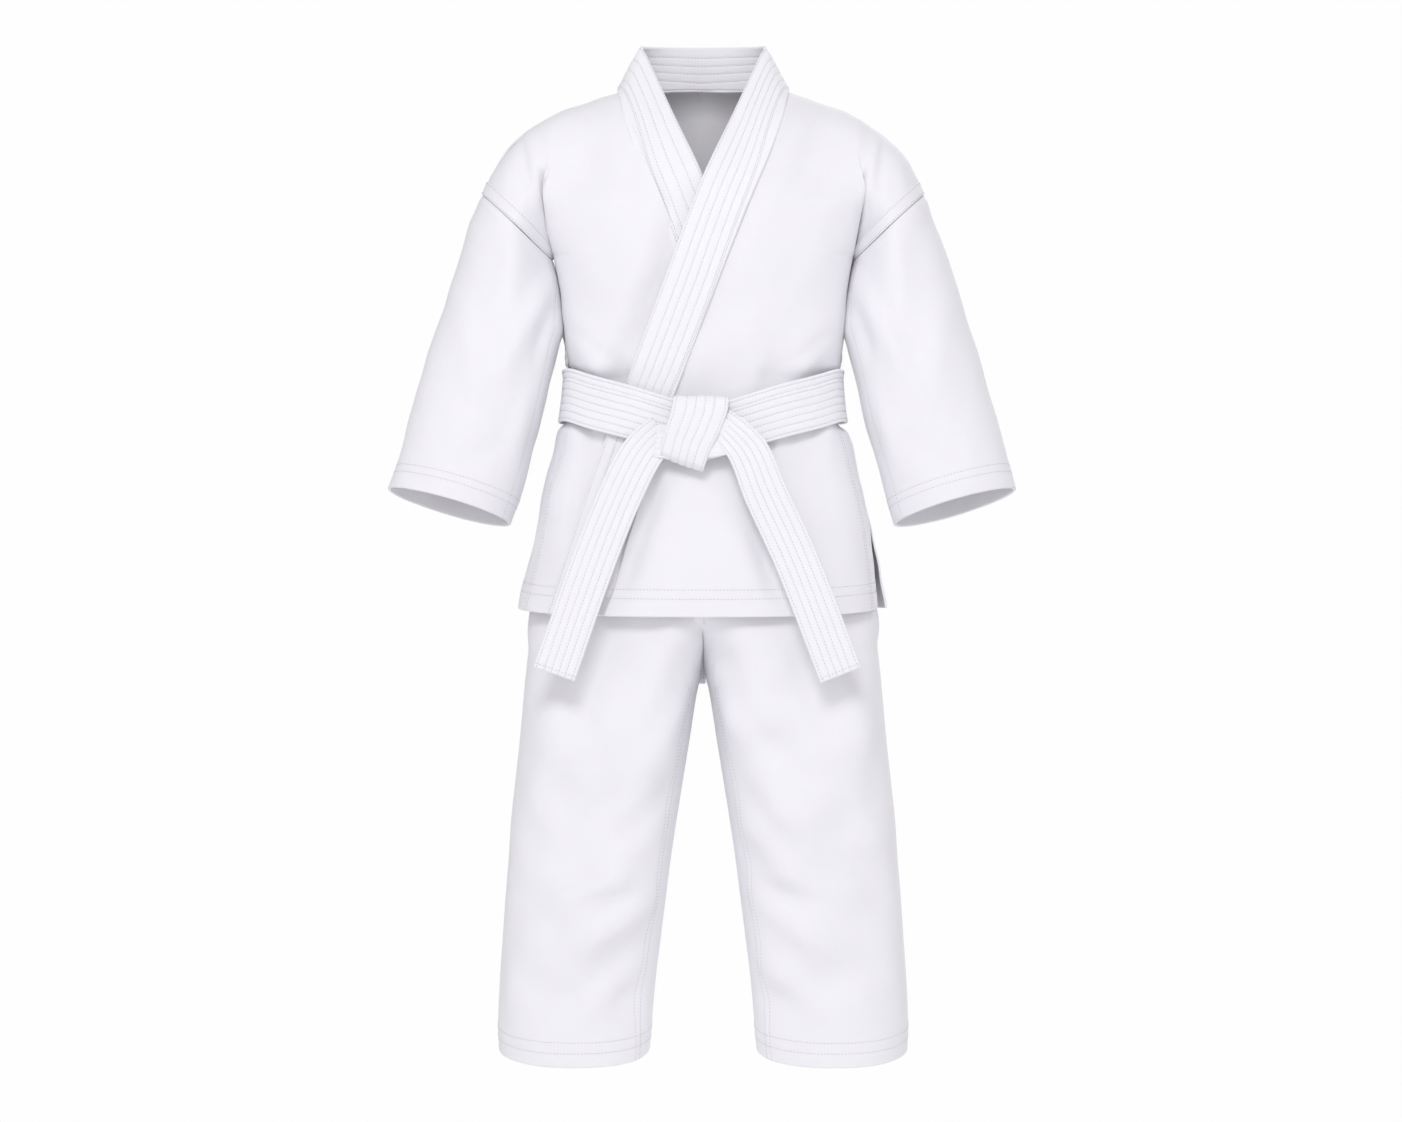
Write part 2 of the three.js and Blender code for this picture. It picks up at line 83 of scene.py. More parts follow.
def mix(a, b, t):  # a where t is 0, b where t is 1, straight between
    return a + (b - a) * t


def step(a, b, at):  # 0 before a, 1 after b, smooth between
    t = np.clip((at - a) / (b - a), 0, 1)
    return t * t * (3 - 2 * t)


def spread(count, length, rim=1.6):  # shares of a length, closer together at its two ends
    near = np.array([0, 0.1, 0.35, 0.75]) * rim / length
    return np.concatenate([near, np.linspace(rim / length, 1 - rim / length, count), 1 - near[::-1]])


def ripple(a, b, scale, seed, waves=6):  # soft noise, the sum of a few slanted waves
    made = np.random.default_rng(seed)
    turn, phase = made.uniform(0, math.pi, waves), made.uniform(0, 2 * math.pi, waves)
    size = scale * made.uniform(0.7, 1.6, waves)
    shape = [np.sin(2 * math.pi * (a * math.cos(t) + b * math.sin(t)) / s + p) for t, p, s in zip(turn, phase, size)]
    return sum(shape) / waves ** 0.5


def crease(a, b, start, end, width, height):  # a soft ridge between two points, round in section
    start, end = np.array(start, float), np.array(end, float)
    way = end - start
    t = ((a - start[0]) * way[0] + (b - start[1]) * way[1]) / (way @ way)
    off = ((a - start[0]) * way[1] - (b - start[1]) * way[0]) / math.sqrt(way @ way)
    return height * np.exp(-(off / width) ** 2) * step(-0.25, 0.3, t) * (1 - step(0.6, 1.2, t))


def gathered(grid):  # distances along the columns and rows of a grid, from their first edge
    across = np.linalg.norm(np.diff(grid, axis=1), axis=2)
    down = np.linalg.norm(np.diff(grid, axis=0), axis=2)
    return (np.pad(np.cumsum(across, 1), ((0, 0), (1, 0))), np.pad(np.cumsum(down, 0), ((1, 0), (0, 0))))


def normalsOf(grid, out, wrap):  # unit normals of a grid, on the side of out
    if wrap:
        across = np.roll(grid, -1, 1) - np.roll(grid, 1, 1)
    else:
        across = np.gradient(grid, axis=1)
    normal = np.cross(across, np.gradient(grid, axis=0))
    normal /= np.maximum(np.linalg.norm(normal, axis=2, keepdims=True), 1e-9)
    return normal * (1 if (normal * out).sum() > 0 else -1)


# Makes the mesh in metres. Where its volume comes out negative, every face is turned round.
def put(name, points, faces, uv, material):
    used = np.unique(faces)
    order = np.zeros(len(points), int)
    order[used] = np.arange(len(used))
    points, uv, faces = points[used] * 0.001, uv[used] * 0.001, order[faces]
    corner = points[faces]
    volume = (corner[:, 0] * np.cross(corner[:, 1] - corner[:, 0], corner[:, 2] - corner[:, 0])).sum()
    volume += (corner[:, 0] * np.cross(corner[:, 2] - corner[:, 0], corner[:, 3] - corner[:, 0])).sum()
    if volume < 0:
        faces = faces[:, ::-1]
    mesh = bpy.data.meshes.new(name)
    mesh.vertices.add(len(points))
    mesh.vertices.foreach_set("co", points.astype(np.float32).ravel())
    mesh.loops.add(faces.size)
    mesh.loops.foreach_set("vertex_index", faces.astype(np.int32).ravel())
    mesh.polygons.add(len(faces))
    mesh.polygons.foreach_set("loop_start", np.arange(0, faces.size, 4, dtype=np.int32))
    mesh.polygons.foreach_set("use_smooth", np.ones(len(faces), bool))
    mesh.update(calc_edges=True)
    mesh.uv_layers.new(name="cloth").data.foreach_set("uv", uv[faces.ravel()].astype(np.float32).ravel())
    mesh.materials.append(material)
    mesh.validate()
    made = bpy.data.objects.new(name, mesh)
    bpy.context.scene.collection.objects.link(made)
    return made


# A closed sheet: the grid is the middle of the cloth, thickened to both sides and rounded at its edges.
def slab(name, grid, out, half, material, lift=0, under=0, wrap=False, keep=None, shift=0):
    normal = normalsOf(grid, out, wrap)
    if np.any(shift):
        grid = grid + normal * np.broadcast_to(shift, grid.shape[:2])[..., None]
        normal = normalsOf(grid, out, wrap)
    across, down = gathered(grid)
    edge = np.minimum(down, down[-1:] - down)
    if not wrap:
        edge = np.minimum(edge, np.minimum(across, across[:, -1:] - across))
    rim = np.sqrt(1 - (1 - np.clip(edge / max(half, 0.6), 0.03, 1)) ** 2)
    top = grid + normal * ((half + lift) * rim)[..., None]
    low = grid - normal * ((half + under) * rim)[..., None]
    high, wide = grid.shape[:2]
    index = np.arange(high * wide).reshape(high, wide)
    if wrap:
        index = np.hstack([index, index[:, :1]])
    faces = np.stack([index[:-1, :-1], index[:-1, 1:], index[1:, 1:], index[1:, :-1]], -1)
    faces = faces[keep] if keep is not None else faces.reshape(-1, 4)
    sides = np.stack([faces, np.roll(faces, -1, 1)], -1).reshape(-1, 2)
    key = np.sort(sides, 1) @ np.array([high * wide, 1])
    _, first, count = np.unique(key, return_index=True, return_counts=True)
    rimSides = sides[first[count == 1]]
    walls = np.stack([rimSides[:, 1], rimSides[:, 0], rimSides[:, 0] + high * wide, rimSides[:, 1] + high * wide], -1)
    allFaces = np.vstack([faces, faces[:, ::-1] + high * wide, walls])
    points = np.vstack([top.reshape(-1, 3), low.reshape(-1, 3)])
    uv = np.stack([across, down], -1).reshape(-1, 2)
    made = put(name, points, allFaces, np.vstack([uv, uv]), material)
    return {"object": made, "top": top, "low": low, "normal": normal, "across": across, "down": down}


# The line on a sheet that runs at a distance from one of its edges, found between two points of each row.
def lineOn(piece, distance, axis=1, fromEnd=False, face="top", ruler=None):
    grid, normal = piece[face], piece["normal"]
    if ruler is None:
        ruler = piece["across"] if axis == 1 else piece["down"]
    if axis == 0:
        grid, normal, ruler = grid.transpose(1, 0, 2), normal.transpose(1, 0, 2), ruler.T
    if fromEnd:
        ruler = ruler[:, -1:] - ruler
        grid, normal, ruler = grid[:, ::-1], normal[:, ::-1], ruler[:, ::-1]
    k = np.clip((ruler < distance).sum(1), 1, ruler.shape[1] - 1)
    row = np.arange(len(k))
    t = ((distance - ruler[row, k - 1]) / np.maximum(ruler[row, k] - ruler[row, k - 1], 1e-6))[:, None]
    t = np.clip(t, 0, 1)
    points = mix(grid[row, k - 1], grid[row, k], t)
    sign = 1 if face == "top" else -1
    return points, sign * normal[row, k]


threads = {}


def sew(group, line, pitch=3.2, keep=None):  # remembers a row of stitches for one group
    points, normal = line
    if keep is not None:
        points, normal = points[keep], normal[keep]
    if len(points) > 3:
        threads.setdefault(group, []).append((points, normal, pitch))


def along(values, run, where):  # points read at places along a line
    return np.stack([np.interp(where, run, values[:, i]) for i in range(3)], -1)


def makeThreads(group, material):  # every stitch is a small lozenge with six corners
    corners, faces, uvs, count = [], [], [], 0
    for points, normal, pitch in threads.get(group, []):
        run = np.concatenate([[0], np.cumsum(np.linalg.norm(np.diff(points, axis=0), axis=1))])
        at = np.arange(pitch / 2, run[-1], pitch)
        if len(at) < 2:
            continue
        middle, face = along(points, run, at), along(normal, run, at)
        ahead = along(points, run, at + 0.3 * pitch) - along(points, run, at - 0.3 * pitch)
        ahead /= np.maximum(np.linalg.norm(ahead, axis=1, keepdims=True), 1e-9)
        side = np.cross(face, ahead)
        middle = middle + face * 0.1
        tips = np.stack([middle - ahead * pitch * 0.37, middle + side * 0.36, middle + face * 0.32,
                         middle - side * 0.36, middle - face * 0.3, middle + ahead * pitch * 0.37], 1)
        pattern = np.array([[0, 2, 1, 1], [0, 3, 2, 2], [0, 4, 3, 3], [0, 1, 4, 4],
                            [5, 1, 2, 2], [5, 2, 3, 3], [5, 3, 4, 4], [5, 4, 1, 1]])
        corners.append(tips.reshape(-1, 3))
        faces.append((pattern[None] + 6 * np.arange(len(at))[:, None, None]).reshape(-1, 4) + count)
        count += 6 * len(at)
    points, faces = np.vstack(corners) * 0.001, np.vstack(faces)[:, :3]
    mesh = bpy.data.meshes.new(group)
    mesh.from_pydata(points.tolist(), [], faces.tolist())
    mesh.polygons.foreach_set("use_smooth", np.ones(len(faces), bool))
    mesh.materials.append(material)
    made = bpy.data.objects.new(group, mesh)
    bpy.context.scene.collection.objects.link(made)
    return made


def grooves(distance, rows, width=1.0, depth=0.55):  # the cloth sinks along each row of stitches
    return -depth * sum(np.exp(-((distance - row) / width) ** 2) for row in rows)


class Value:  # a socket that can be added to and multiplied
    def __init__(self, look, socket):
        self.look, self.socket = look, socket

    def calc(self, operation, *others):  # one step of arithmetic, as a Math node
        node = self.look.tree.nodes.new("ShaderNodeMath")
        node.operation = operation
        for slot, item in zip(node.inputs, (self, *others)):
            self.look.feed(slot, item)
        return Value(self.look, node.outputs[0])

    def __add__(self, other):
        return self.calc("ADD", other)

    def __sub__(self, other):
        return self.calc("SUBTRACT", other)

    def __mul__(self, other):
        return self.calc("MULTIPLY", other)

    def __rsub__(self, other):
        return (self * -1) + other

    __radd__, __rmul__ = __add__, __mul__


class Look:  # one material, and the nodes in it
    def __init__(self, name):
        self.material = bpy.data.materials.new(name)
        self.material.use_nodes = True
        self.tree = self.material.node_tree
        self.shader = self.tree.nodes["Principled BSDF"]

    def feed(self, slot, item):
        if isinstance(item, Value):
            self.tree.links.new(item.socket, slot)
        else:
            slot.default_value = item

    def node(self, kind, output=0, settings=None, **inputs):  # any other node, its settings first
        made = self.tree.nodes.new(kind)
        for key, value in (settings or {}).items():
            setattr(made, key, value)
        for key, value in inputs.items():
            self.feed(made.inputs[key.replace("_", " ")], value)
        return Value(self, made.outputs[output])


# Plain weave: two crossed waves, one for each direction of the threads. The tint varies softly.
def clothLook(name, tint, spacing, relief, stain):
    look = Look(name)
    place = look.node("ShaderNodeTexCoord", "UV")
    wave = 2 * math.pi / spacing
    parts = look.tree.nodes.new("ShaderNodeSeparateXYZ")
    look.feed(parts.inputs[0], place)
    u, v = Value(look, parts.outputs[0]), Value(look, parts.outputs[1])
    weft, warp = (u * wave).calc("SINE"), (v * wave).calc("SINE")
    weave = (weft * warp) * 0.5 + 0.5
    body = look.node("ShaderNodeTexCoord", "Object")
    slub = look.node("ShaderNodeTexNoise", 0, {"noise_dimensions": "3D"}, Vector=body, Scale=420.0, Detail=2.0)
    cloud = look.node("ShaderNodeTexNoise", 0, {"noise_dimensions": "3D"}, Vector=body, Scale=9.0, Detail=3.0)
    grain = look.node("ShaderNodeTexNoise", 0, {"noise_dimensions": "3D"}, Vector=body, Scale=95.0, Detail=3.0)
    shade = cloud * stain + grain * stain + slub * stain * 0.7
    dark = tuple(x * 0.86 for x in tint[:3]) + (1,)
    colour = look.node("ShaderNodeMix", 2, {"data_type": "RGBA"})
    mixer = colour.socket.node
    look.feed(mixer.inputs[0], shade)
    mixer.inputs[6].default_value, mixer.inputs[7].default_value = tint, dark
    look.feed(look.shader.inputs["Base Color"], colour)
    look.feed(look.shader.inputs["Roughness"], weave * 0.06 + 0.84)
    height = weave * 0.6 + slub * 0.7 + grain * 0.8
    bump = look.node("ShaderNodeBump", 0, None, Height=height, Strength=relief, Distance=0.00035)
    look.feed(look.shader.inputs["Normal"], bump)
    look.shader.inputs["Sheen Weight"].default_value = 0.12
    look.shader.inputs["Sheen Roughness"].default_value = 0.45
    look.shader.inputs["Specular IOR Level"].default_value = 0.18
    return look.material


def plainLook(name, colour, rough):  # one even colour
    look = Look(name)
    look.shader.inputs["Base Color"].default_value = colour
    look.shader.inputs["Roughness"].default_value = rough
    return look.material


weaves = {  # spacing of the threads is in metres
    "canvas": {"tint": (0.885, 0.874, 0.908, 1), "spacing": 0.0011, "relief": 0.35, "stain": 0.10},
    "quilted": {"tint": (0.90, 0.89, 0.924, 1), "spacing": 0.0009, "relief": 0.30, "stain": 0.08},
    "belt": {"tint": (0.90, 0.89, 0.924, 1), "spacing": 0.0008, "relief": 0.30, "stain": 0.08},
}
canvas = clothLook("cotton_canvas", **weaves["canvas"])
quilted = clothLook("quilted_cotton", **weaves["quilted"])
beltCloth = clothLook("belt_cotton", **weaves["belt"])
thread = plainLook("thread", (0.60, 0.60, 0.645, 1), 0.8)
darkThread = plainLook("tacking_thread", (0.16, 0.16, 0.18, 1), 0.5)
print("materials made")

jacket = {  # tables run from a height to a length; the armhole has a top, a bottom and half a depth
    "armTop": -20.0, "armLow": -147.0, "armDepth": 48.0, "bodyLow": -297.0, "sheet": 1.0,
    "halfWidth": [[0, 145], [-20, 145], [-46, 144], [-60, 144.2], [-74, 146.8], [-90, 149.2], [-112, 146.6],
                  [-147, 139.8], [-172, 135.8], [-190, 133.2], [-226, 130.5], [-243, 128.5], [-252, 127],
                  [-258, 122.5], [-264, 117.5], [-280, 117], [-296, 119], [-305, 128], [-311, 134.5],
                  [-319, 137.5], [-338, 141.5], [-356, 145.5], [-375, 150], [-412, 157.5], [-440, 164],
                  [-470, 170], [-480, 171.5]],
    "frontDepth": [[20, 66], [-40, 72], [-100, 80], [-160, 84], [-217, 81], [-245, 79], [-280, 75],
                   [-320, 77], [-400, 88], [-490, 95]],
    "backDepth": [[20, 66], [-40, 74], [-100, 78], [-160, 78], [-217, 74], [-280, 69], [-320, 72],
                  [-400, 84], [-490, 93]],
    "ridge": [[0, 26], [45, 17], [79, 5], [91, 1], [112, -7], [131, -13.5], [145, -20]],
    "lapelSeam": [[5, 79], [-18, 74.5], [-44, 66], [-117, 36], [-284, -28], [-420, -77], [-495, -106]],
    "lapelEdge": [[48, 57], [-15, 28.8], [-77, 0], [-176, -37], [-275, -73.5], [-320, -90], [-495, -147]],
}
armMid = (jacket["armTop"] + jacket["armLow"]) / 2
armRise = (jacket["armTop"] - jacket["armLow"]) / 2


# The armhole's section is a half circle in height, which runs from 1 at the shoulder to -1 in the
# armpit. It is pulled back below the middle, and dips at t = 0, where the body's edge laps over it.
def armBulge(height, t=0, dip=0):
    tuck = 0.4 * step(0.15, -0.8, height) * (1 - step(2.6, 4.6, t))
    valley = dip * np.exp(-(np.asarray(t) / 0.42) ** 2) * step(0.5, 0.05, height)
    return np.sqrt(np.clip(1 - height ** 2, 0, 1)) * (1 - tuck - valley)


# Depth of the jacket's surface from the side plane. Across the chest it falls to the sleeve's edge
# gently at the shoulder, and like the end of a rounded box lower down, where the sleeve leaves it.
def depthAt(face, x, z):
    half = ease(jacket["halfWidth"], z)
    share = np.clip(np.abs(x) / half, 0, 1)
    chest = ease(jacket["frontDepth"] if face < 0 else jacket["backDepth"], z)
    above = np.maximum(ease(jacket["ridge"], np.abs(x)) - armMid, 1)
    edge = jacket["armDepth"] * armBulge(np.clip((z - armMid) / np.where(z > armMid, above, armRise), -1, 1))
    rise = armRise if face < 0 else mix(41, armRise, step(0, 110, np.abs(x)))
    rounding = np.sqrt(1 - (1 - np.clip((ease(jacket["ridge"], np.abs(x)) - z) / rise, 0, 1)) ** 2)
    slope = mix(0.3, 0.06, step(-70, -130, z))
    full = np.maximum(edge, chest * (1 - slope * share ** 2) * rounding)
    low = (1 - share ** 2.7) ** (1 / 2.7)
    high = 1 - step(0.3, 1, share)
    fall = mix(low, high, step(-104, -70, z))
    near = mix(step(0.78, 1, share), 1, step(jacket["armLow"], -95, z))  # reach of the armhole's depth
    return full * fall + edge * (1 - fall) * near


# The sleeve is a family of rings between an outer and an inner point, numbered 0 at the shoulder,
# 2 at the dropped seam and 6 at the cuff.
sleeve = {  # tables run from the ring's number to a point (x, height), or to one length
    "outer": [[0, 145, -20], [0.4, 160, -29.3], [0.8, 172, -39], [1.2, 184, -52], [1.6, 195.5, -70],
              [2, 205, -91], [2.5, 216, -120], [3, 226, -151], [4, 240.5, -196], [5, 257.5, -250], [6, 289, -366]],
    "inner": [[0, 139.5, -147], [1, 139.5, -148.5], [2, 140.5, -152], [2.5, 135.6, -172], [3, 132, -195],
              [3.6, 130.6, -216], [4, 134, -232], [5, 146, -283], [6, 178, -398]],
    "depth": [[0, 48], [1, 48], [2, 47], [3, 47], [4, 47], [5, 46], [6, 44]],
    "forward": [[0, 0], [2, 1], [3, 6], [4, 11], [5, 17], [6, 30]],
    "dip": 0.15, "cuffRows": (23, 16), "seamAngle": math.pi - 0.5, "seamBand": 13,
}


def columnAt(table, k, t):  # one column of a table, read at t
    return ease([[row[0], row[k]] for row in table], t)


def sleevePoint(side, t, angle):  # cosine and bulge of the angle, times half the ring's width and its depth
    ax, az = columnAt(sleeve["outer"], 1, t), columnAt(sleeve["outer"], 2, t)
    bx, bz = columnAt(sleeve["inner"], 1, t), columnAt(sleeve["inner"], 2, t)
    swing = np.cos(angle)
    bulge = np.sign(np.sin(angle)) * armBulge(swing, t, sleeve["dip"])
    x, z = (ax + bx) / 2 + (ax - bx) / 2 * swing, (az + bz) / 2 + (az - bz) / 2 * swing
    tilt = 8 * step(3, 6, t)
    y = -columnAt(sleeve["forward"], 1, t) - columnAt(sleeve["depth"], 1, t) * bulge
    return np.stack([side * x, y, z + tilt * bulge], -1)


def neckZ(x):  # height of the seam behind the neck
    return 10.5 - 5.5 * (x / 79) ** 2


# A shell is the front or back of the body with the top of the sleeve: rows run down from the
# shoulder line, columns from the lapel's seam or the middle of the back out to the armhole and on
# to the dropped seam.
def shell(side, face):
    turn = np.linspace(0, math.pi, 72)
    length = jacket["armTop"] - jacket["bodyLow"]
    drop = np.concatenate([armRise * (1 - np.cos(turn)), np.linspace(127, length, 60)[1:]])
    share = np.sin(spread(110, 100, 1) * math.pi / 2)
    top = mix(79 if face < 0 else -0.6, 145, share)
    head = ease(jacket["ridge"], top) if face < 0 else np.where(top < 79, neckZ(top), ease(jacket["ridge"], top))
    z = head[None] - drop[:, None] * (head[None] - jacket["bodyLow"]) / length
    half = ease(jacket["halfWidth"], z[:, -1])
    start = ease(jacket["lapelSeam"], z[:, 0]) - 6 if face < 0 else np.full(len(z), -0.6)
    x = mix(start[:, None], half[:, None], share[None])
    x[0] = top
    z = np.minimum(z, ease(jacket["ridge"], x))
    depth = depthAt(face, x, z)
    if side < 0 and face < 0:
        lead = -ease(jacket["lapelEdge"], z)
        depth = depth - 6 * (1 - step(lead + 3, lead + 34, x))
    body = np.stack([side * x, face * depth, z], -1)
    t = np.linspace(0, 1.985, 52)[1:]
    angle = np.concatenate([turn, np.full(len(drop) - len(turn), math.pi)])
    cap = sleevePoint(side, t[None] + 0 * angle[:, None], -face * angle[:, None] + 0 * t[None])
    grid = np.concatenate([body, cap], 1)
    joint = np.exp(-((np.arange(grid.shape[1]) - len(share)) / 9.0) ** 2)[None, :, None]
    soft = (joint * step(-78, -52, body[:, -1, 2])[:, None, None])[:, 1:-1]
    for _ in range(60):  # the shoulder runs smoothly from the body into the sleeve above the fold
        middle = (grid[:, 2:] + grid[:, :-2]) / 2
        grid[:, 1:-1] = grid[:, 1:-1] + 0.7 * soft * (middle - grid[:, 1:-1])
    over = step(82, 96, np.abs(grid[:1, :, 0])) * np.exp(-(drop[:, None] / 2.5) ** 2)
    grid[..., 1] -= 1.6 * face * over  # front and back overlap a little along the shoulder line
    keep = np.ones((len(drop) - 1, grid.shape[1] - 1), bool)
    keep[len(turn) - 1:, len(share) - 1:] = False
    return grid, keep


# Start, end, width and height of each fold on the chest, from the shoulder down to the belt.
chestFolds = [
    ((163, -34), (152, -86), 5, 1.8), ((167, -44), (160, -104), 5.5, -1.6), ((178, -52), (186, -96), 7, 1.2),
    ((118, -228), (84, -262), 8, 2.4), ((124, -205), (70, -246), 9, 1.6), ((96, -20), (72, -92), 13, 1.5),
    ((128, -110), (98, -178), 12, 1.3),
]


def frontFolds(side, x, z):  # soft noise and the folds, and short gathers just above the belt
    near = np.exp(-((z + 262) / 24) ** 2) * step(-300, -262, z)
    made = 0.9 * ripple(x, z, 95, 5 + side) + 0.35 * ripple(x, z, 38, 8 + side)
    made = made + near * 2.0 * np.cos(side * x / 7.5 + 0.8 * side + 0.4 * np.sin(z / 9)) * step(20, 60, side * x)
    made = made + sum(crease(side * x, z, *fold) for fold in chestFolds)
    return made * step(8, 26, ease(jacket["ridge"], np.abs(x)) - z + 30 * step(140, 150, np.abs(x)))


pieces = {}
names = {1: "left", -1: "right"}  # the wearer's
for side in (1, -1):
    for face, word in ((-1, "front"), (1, "back")):
        grid, keep = shell(side, face)
        x, z = grid[..., 0], grid[..., 2]
        if face < 0:
            shift = frontFolds(side, x, z)
        else:
            shift = (0.9 * ripple(x, z, 95, 21 + side) + 0.3 * ripple(x, z, 36, 31)) * step(0, 14, np.abs(x))
        name = f"{names[side]}_{word}"
        made = slab(name, grid, (0, face, 0.001), jacket["sheet"], canvas, keep=keep, shift=shift - 1)
        pieces[name] = made
        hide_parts(f"{name}_panel", f"{names[side]}_shoulder_cap_{word}")
    back = pieces[f"{names[side]}_back"]
    sew("stitch_body", lineOn(back, 3.2))
print("body made")

sleeveFolds = [
    ((146, -175), (190, -262), 11, 2.4), ((143, -205), (172, -300), 9, -2.0), ((176, -128), (178, -215), 12, 1.5),
    ((222, -190), (206, -300), 13, 1.5), ((186, -320), (236, -352), 12, -1.0), ((156, -240), (178, -345), 8, 1.7),
]
cuffSteps = 1 - np.array([0.06, 0.05, 0.04, 0.03, 0.02, 0.012, 0.008, 0.005, 0.003, 0.001, 0])
for side in (1, -1):
    word = names[side]
    angle = np.linspace(0, 2 * math.pi, 180, endpoint=False)
    t = 2 + 4 * np.concatenate([np.linspace(0, 0.93, 150), cuffSteps])
    grid = sleevePoint(side, t[:, None] + 0 * angle, angle + 0 * t[:, None])
    x, z = side * grid[..., 0], grid[..., 2]
    ahead = step(-0.1, 0.5, np.sin(angle))
    shift = 0.9 * ripple(x, z, 90, 41 + side) + 0.3 * ripple(x, z, 34, 43 + side)
    folds = sum(crease(x, z, *fold) for fold in sleeveFolds)
    shift = (shift + 2.6 * folds * ahead) * step(2.05, 2.5, t)[:, None] - 1.3 * (1 - step(2, 2.12, t))[:, None]
    across, down = gathered(grid)
    left = down[-1:] - down
    hem = 0.45 * (1 - step(24.5, 26.5, left)) + grooves(left, sleeve["cuffRows"], 0.9, 0.35)
    hem = hem + grooves((angle[None] - sleeve["seamAngle"]) * 48 + 0 * left, (0,), 0.8, 0.45)
    out = grid - grid.mean(1, keepdims=True)
    made = slab(f"{word}_sleeve", grid, out, 1.0, canvas, hem, hem, wrap=True, shift=shift)
    pieces[f"{word}_sleeve"] = made
    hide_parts(f"{word}_sleeve_front", f"{word}_sleeve_back", f"{word}_cuff_hem")
    for d in sleeve["cuffRows"]:
        sew(f"stitch_{word}_sleeve", lineOn(made, d, 0, True))
    k = int(np.argmin(np.abs(angle - sleeve["seamAngle"])))
    sew(f"stitch_{word}_sleeve", (made["top"][8:, k], made["normal"][8:, k]))
    # the seam allowance, turned up over the shoulder side and sewn down along both edges
    apart = sleevePoint(side, 2.0 + 0 * angle, angle) - sleevePoint(side, 1.8 + 0 * angle, angle)
    speed = np.linalg.norm(apart, axis=1) / 0.2
    first = np.maximum(0.02, 2 - sleeve["seamBand"] / np.maximum(speed, 5))
    w = spread(14, 13, 0.8)
    grid = sleevePoint(side, mix(first[None], 1.995, w[:, None]), angle[None] + 0 * w[:, None])
    out = grid - grid.mean(1, keepdims=True)
    band = slab(f"{word}_seam_band", grid, out, 0.6, canvas, wrap=True, shift=0.55)
    pieces[f"{word}_seam_band"] = band
    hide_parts(f"{word}_armhole_seam")
    sew(f"stitch_{word}_armhole", lineOn(band, 1.6, 0))
    sew(f"stitch_{word}_armhole", lineOn(band, 1.6, 0, True))
print("sleeves made")

collar = {  # rows of quilting, counted from the leading edge; heights of the lapels' top corners
    "rows": {1: (12, 19.5, 27.5, 35.5, 45), -1: (13, 24.5, 36, 45)}, "edgeRows": (43, 2.2),
    "bandRows": (10.5, 18.5, 26, 34), "top": (5, 48), "half": 1.9, "tacks": (-5.5, 19.5),
}


# A lapel runs from the neck to the hem. Its outer edge is sewn to the front, and its leading edge
# stands free beside the neck, then lies on the body.
def lapelGrid(side, high, low):
    t = spread(150, 340)
    u = spread(74, 47, 1.8)
    seamZ, edgeZ = mix(high[0], low, t), mix(high[1], low, t)
    z = mix(seamZ[:, None], edgeZ[:, None], u[None])
    seamX, edgeX = ease(jacket["lapelSeam"], seamZ), ease(jacket["lapelEdge"], edgeZ)
    x = mix(seamX[:, None], edgeX[:, None], u[None])
    on = depthAt(-1, x, z) + lapelLift(side, z)
    seamY = depthAt(-1, seamX, seamZ) + lapelLift(side, seamZ)
    crossZ = np.minimum(edgeZ, -77)
    foot = depthAt(-1, np.where(edgeZ > -77, 0, edgeX), crossZ) + lapelLift(side, crossZ)
    edgeY = mix(foot, 1.0, np.clip((edgeZ + 77) / 125, 0, 1) ** 1.15)
    free = mix(seamY[:, None], edgeY[:, None], u[None])
    on = mix(free, on, step(0.22, 0.44, t)[:, None])
    corner = np.exp(-((1 - u[None]) * 47 / 4.5) ** 2) * np.exp(-(t[:, None] * 340 / 5) ** 2)
    return np.stack([side * (x - 0.6 * corner), -on, z - 3.4 * corner], -1)  # the top corner is drawn in and down


def quilt(grid, rows):  # grooves at distances from the leading edge, with a faint pucker along them
    across, down = gathered(grid)
    fromEdge = across[:, -1:] - across
    return grooves(fromEdge, rows) + 0.036 * np.sin(down / 1.6) * np.exp(-((fromEdge - 30) / 30) ** 2)


def lapelLift(side, z):  # how far a lapel's middle lies off the body: the right one runs in under the left front
    return 2.2 + 0 * z if side > 0 else mix(2.2, -6.2, step(-14, -105, z))


for side in (1, -1):
    grid = lapelGrid(side, collar["top"], jacket["bodyLow"])
    rows = collar["rows"][side]
    relief = quilt(grid, rows) + 0.12 * ripple(grid[..., 0], grid[..., 2], 22, 51)
    made = slab(f"{names[side]}_lapel", grid, (0, -1, 0), collar["half"], quilted, relief, 0.4 * relief)
    pieces[f"{names[side]}_lapel"] = made
    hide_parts(f"{names[side]}_lapel")
    for d in (*rows, *collar["edgeRows"]):
        sew("stitch_lapels", lineOn(made, d, 1, True))

# the band behind the neck, from its seam on the back up to a free edge
a = spread(150, 280)
angle = mix(-math.pi / 2, math.pi / 2, a)
lowX = 79 * np.sin(angle)
lowZ = neckZ(lowX) - 0.5
lowY = depthAt(1, lowX, lowZ) + 0.6
w = spread(56, 45, 1.8)
droop = 3.2 * np.exp(-(np.cos(angle) / 0.1) ** 2)
highZ = mix(48, 50.5, np.cos(angle)) - droop
high = np.stack([57 * np.sin(angle), 1 + 56 * np.cos(angle) ** 0.9, highZ], -1)
low = np.stack([lowX, lowY, lowZ], -1)
grid = mix(low[None], high[None], w[:, None, None])
fromTop = (1 - w)[:, None] * np.linalg.norm(high - low, axis=1)[None]
relief = grooves(fromTop, collar["bandRows"])
out = grid * np.array([1, 1, 0])
made = slab("neck_band", grid, out, collar["half"], quilted, relief, relief)
pieces["neck_band"] = made
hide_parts("neck_band")
